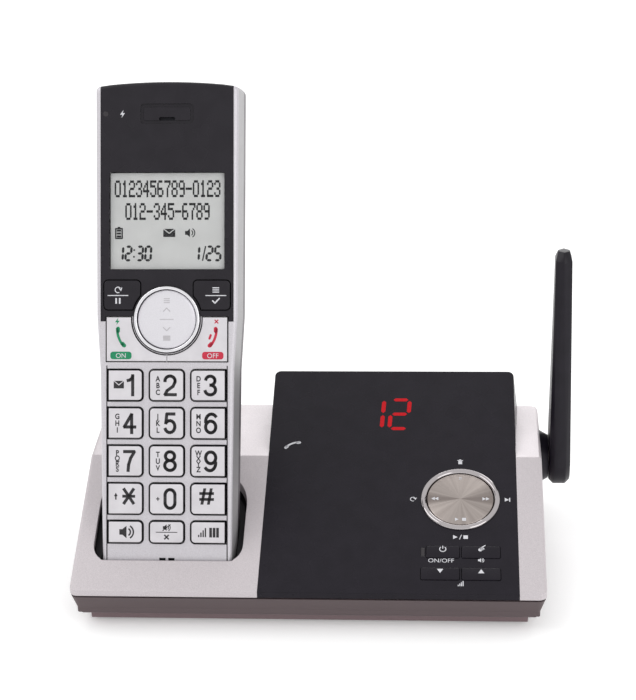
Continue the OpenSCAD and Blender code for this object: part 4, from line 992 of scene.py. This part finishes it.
def make_discs():
    """The two four-way discs with their small signs."""
    middle = top_centre("nav_disc", HANDSET)
    disc = softened("nav_disc", NAV_ROUND, nav_pearl, rings=DOME_RINGS)
    dome(disc.data, middle)
    signs = moved(lines_mark(2.0), y=NAV_OUTER) + moved(chevron(2.2), y=NAV_INNER)
    signs += moved(chevron(2.2), y=-NAV_INNER, turn=180) + bar(2.4, 1.7, y=-NAV_OUTER) + bar(4.6, 0.3)
    marks = lay("nav_disc_mark", signs, middle, HANDSET, "nav_disc", faint_ink)
    dome(marks.data, middle)
    middle = top_centre("message_disc", DECK)
    place = Matrix.Translation(DECK @ middle) @ DECK.to_4x4()
    softened("message_disc", MESSAGE_ROUND, place=place)
    pair = triangle(1.2, 1.5, x=-0.6) + triangle(1.2, 1.5, x=0.6)
    signs = moved(pair, x=MESSAGE_SIDE) + moved(pair, x=-MESSAGE_SIDE, turn=180)
    signs += moved(cross_mark(1.2), y=MESSAGE_END)
    signs += triangle(1.2, 1.4, x=-1.2, y=-MESSAGE_END) + bar(1.3, 1.3, x=1.2, y=-MESSAGE_END)
    lay("message_disc_mark", signs, middle, DECK, "message_disc", white_ink)


def make_antenna():
    """The antenna's blade with its long edges rounded off."""
    softened("antenna", ANTENNA_ROUND, segments=4)


# How far above the middle of a base key its sign lies
BASE_SIGN_Y = 1.1


def make_base_keys():
    """Four flat black keys with white signs."""
    arrow = triangle(1.7, 2.1)
    marks = {
        "answer_key": power_mark(2.6), "find_key": finder_mark(3.8),
        "volume_down_key": moved(arrow, turn=-90), "volume_up_key": moved(arrow, turn=90),
    }
    for node, shapes in marks.items():
        softened(node, BLACK_KEY_ROUND)
        signs, middle = moved(shapes, y=BASE_SIGN_Y), top_centre(node, DECK)
        lay(node + "_mark", signs, middle, DECK, node, white_ink)


# The lit number's place from the middle of the display below it, and its bars
COUNT_AT = Vector((-2.13, 1.9)) * MM
COUNT_BARS = {"w": 6.3, "h": 13.7, "thick": 1.45, "pitch": 9.0, "slant": 0.05, "apart": 0.35}


def make_plate_marks():
    """Small white signs round the message disc and the keys, and the lit message count."""
    ring = top_centre("message_ring", DECK)
    plate_top = local_box("base_faceplate", DECK)[1].z
    middle = Vector((ring.x, ring.y, plate_top))
    bin_mark = bar(1.3, 1.4, y=-0.2) + bar(1.9, 0.3, y=0.75) + bar(0.7, 0.28, y=1.1)
    skip = triangle(1.4, 1.7, x=-0.3) + bar(0.4, 1.7, x=0.65)
    play = triangle(1.5, 1.7, x=-1.7) + bar(1.5, 1.5, x=1.7) + moved(bar(0.25, 2.1), turn=-20)
    signs = moved(bin_mark, y=16.7) + moved(play, y=-16.3)
    signs += moved(loop_mark(2.3), x=-16) + moved(skip, x=15.9)
    signs += moved(glyphs("ON/OFF", 1.7), x=-6.4, y=-26.2)
    signs += moved(speaker_mark(1.9), x=6.5, y=-26) + moved(levels_mark(2.1), y=-35.7)
    signs += moved(receiver_mark(6.0), x=-58.4, y=24.8, turn=-62)
    lay("plate_marks", signs, middle, DECK, "base", white_ink)
    shown = top_centre("message_display", DECK)
    count_at = Vector((shown.x + COUNT_AT.x, shown.y + COUNT_AT.y, plate_top))
    count = segment_number("12", **COUNT_BARS)
    lay("message_count", count, count_at, DECK, "base", lit_red)


# The display's edge under its window, the heights of its rows, its dots and the bars of its small digits
DISPLAY_EDGE = 0.2
TOP_ROW = 10.7
NUMBER_ROW = 3.2
SIGN_ROW = -3.9
CLOCK_ROW = -10.7
DOT_PITCH = 0.395
DOT_RISE = 0.8
CLOCK_BARS = {"w": 1.8, "h": 4.5, "thick": 0.8, "pitch": 2.75, "slant": 0.06}
CLOCK_NUMBERS = {"12": -14.4, "30": -7.8, "1": 9.6, "25": 15.4}
COLON = 0.55


def make_handset_display():
    """The grey display under its window, with plain numbers and small signs."""
    low, high = local_box("lcd_window", HANDSET)
    middle = Vector(((low.x + high.x) / 2, (low.y + high.y) / 2, low.z - 2 * PRINT_LIFT))
    w, h = (high.x - low.x) / MM - 2 * DISPLAY_EDGE, (high.y - low.y) / MM - 2 * DISPLAY_EDGE
    glass_at = middle - Vector((0, 0, PRINT_LIFT / 2))
    lay("display_glass", bar(w, h), glass_at, HANDSET, "handset", finishes["lcd_grey"])
    signs = moved(dot_number("0123456789-0123", DOT_PITCH, DOT_RISE), y=TOP_ROW)
    signs += moved(dot_number("012-345-6789", DOT_PITCH, DOT_RISE), y=NUMBER_ROW)
    signs += moved(battery_mark(3.6), x=-16.2, y=SIGN_ROW) + moved(envelope(4.0, 2.7), x=0.6, y=SIGN_ROW)
    signs += moved(speaker_mark(3.2), x=7.2, y=SIGN_ROW)
    for number, x in CLOCK_NUMBERS.items():
        signs += moved(segment_number(number, **CLOCK_BARS), x=x, y=CLOCK_ROW)
    signs += bar(COLON, COLON, x=-11.1, y=CLOCK_ROW + 2 * COLON)
    signs += bar(COLON, COLON, x=-11.2, y=CLOCK_ROW - 2 * COLON)
    signs += moved(bar(0.45, 5.0), x=12.2, y=CLOCK_ROW, turn=-12)
    lay("display_signs", signs, middle, HANDSET, "handset", display_ink)


def make_handset_marks():
    """A small sign beside the charge light."""
    light = top_centre("charge_light", HANDSET)
    top = local_box("handset_fascia", HANDSET)[1].z
    at = Vector((light.x, light.y, top))
    lay("charge_mark", moved(bolt_mark(2.6), x=5.6), at, HANDSET, "handset", white_ink)


# Floor, light and background

def background_share(made):
    """Is one for rays that should see the plain background."""
    path = add(made, "ShaderNodeLightPath")
    share = path.outputs["Is Camera Ray"]
    for name in ("Is Glossy Ray", "Is Transmission Ray"):
        share = add(made, "ShaderNodeMath", share, path.outputs[name], operation="MAXIMUM").outputs[0]
    return share


def make_world():
    """Even light from all around, and white for the camera."""
    world = bpy.data.worlds.new("studio")
    bpy.context.scene.world = world
    world.use_nodes = True
    tree = world.node_tree
    plain = tree.nodes["Background"]
    plain.inputs["Strength"].default_value = AMBIENT
    plain.inputs["Color"].default_value = (1, 1, 1, 1)
    white = add(world, "ShaderNodeBackground", Color=(1, 1, 1, 1))
    mix = add(world, "ShaderNodeMixShader", background_share(world), plain.outputs[0], white.outputs[0])
    tree.links.new(mix.outputs[0], tree.nodes["World Output"].inputs["Surface"])


def make_floor():
    """A plain pale floor that keeps the shadow."""
    mesh = bpy.data.meshes.new("floor")
    half = FLOOR_SIZE / 2
    corners = [(-half, -half, 0), (half, -half, 0), (half, half, 0), (-half, half, 0)]
    mesh.from_pydata(corners, [], [(0, 1, 2, 3)])
    made = new_material("floor", (252, 252, 252), 0.9)
    made.node_tree.nodes["Principled BSDF"].inputs["Emission Color"].default_value = (1, 1, 1, 1)
    lift = add(made, "ShaderNodeMath", background_share(made), FLOOR_LIFT, operation="MULTIPLY")
    join(made, lift.outputs[0], "Emission Strength")
    mesh.materials.append(made)
    floor = put("floor", mesh)


def make_light(name, at, size, power):
    """A square soft light that points at the telephone."""
    data = bpy.data.lights.new(name, "AREA")
    data.shape, data.size, data.energy = "SQUARE", size, power
    lamp = put(name, data)
    middle = (cad_box[0] + cad_box[1]) / 2
    lamp.location = at
    lamp.rotation_euler = (middle - Vector(at)).to_track_quat("-Z", "Y").to_euler()


make_camera()
make_world()
make_floor()
for lamp_name, lamp in LAMPS.items():
    make_light(lamp_name, *lamp)
make_front_casing()
make_dial_keys()
make_short_keys()
make_soft_keys()
make_talk_keys()
fill_talk_split()
make_nav_ring()
make_discs()
make_antenna()
make_base_keys()
make_plate_marks()
make_handset_display()
make_handset_marks()

bpy.context.scene.view_settings.view_transform = "Standard"
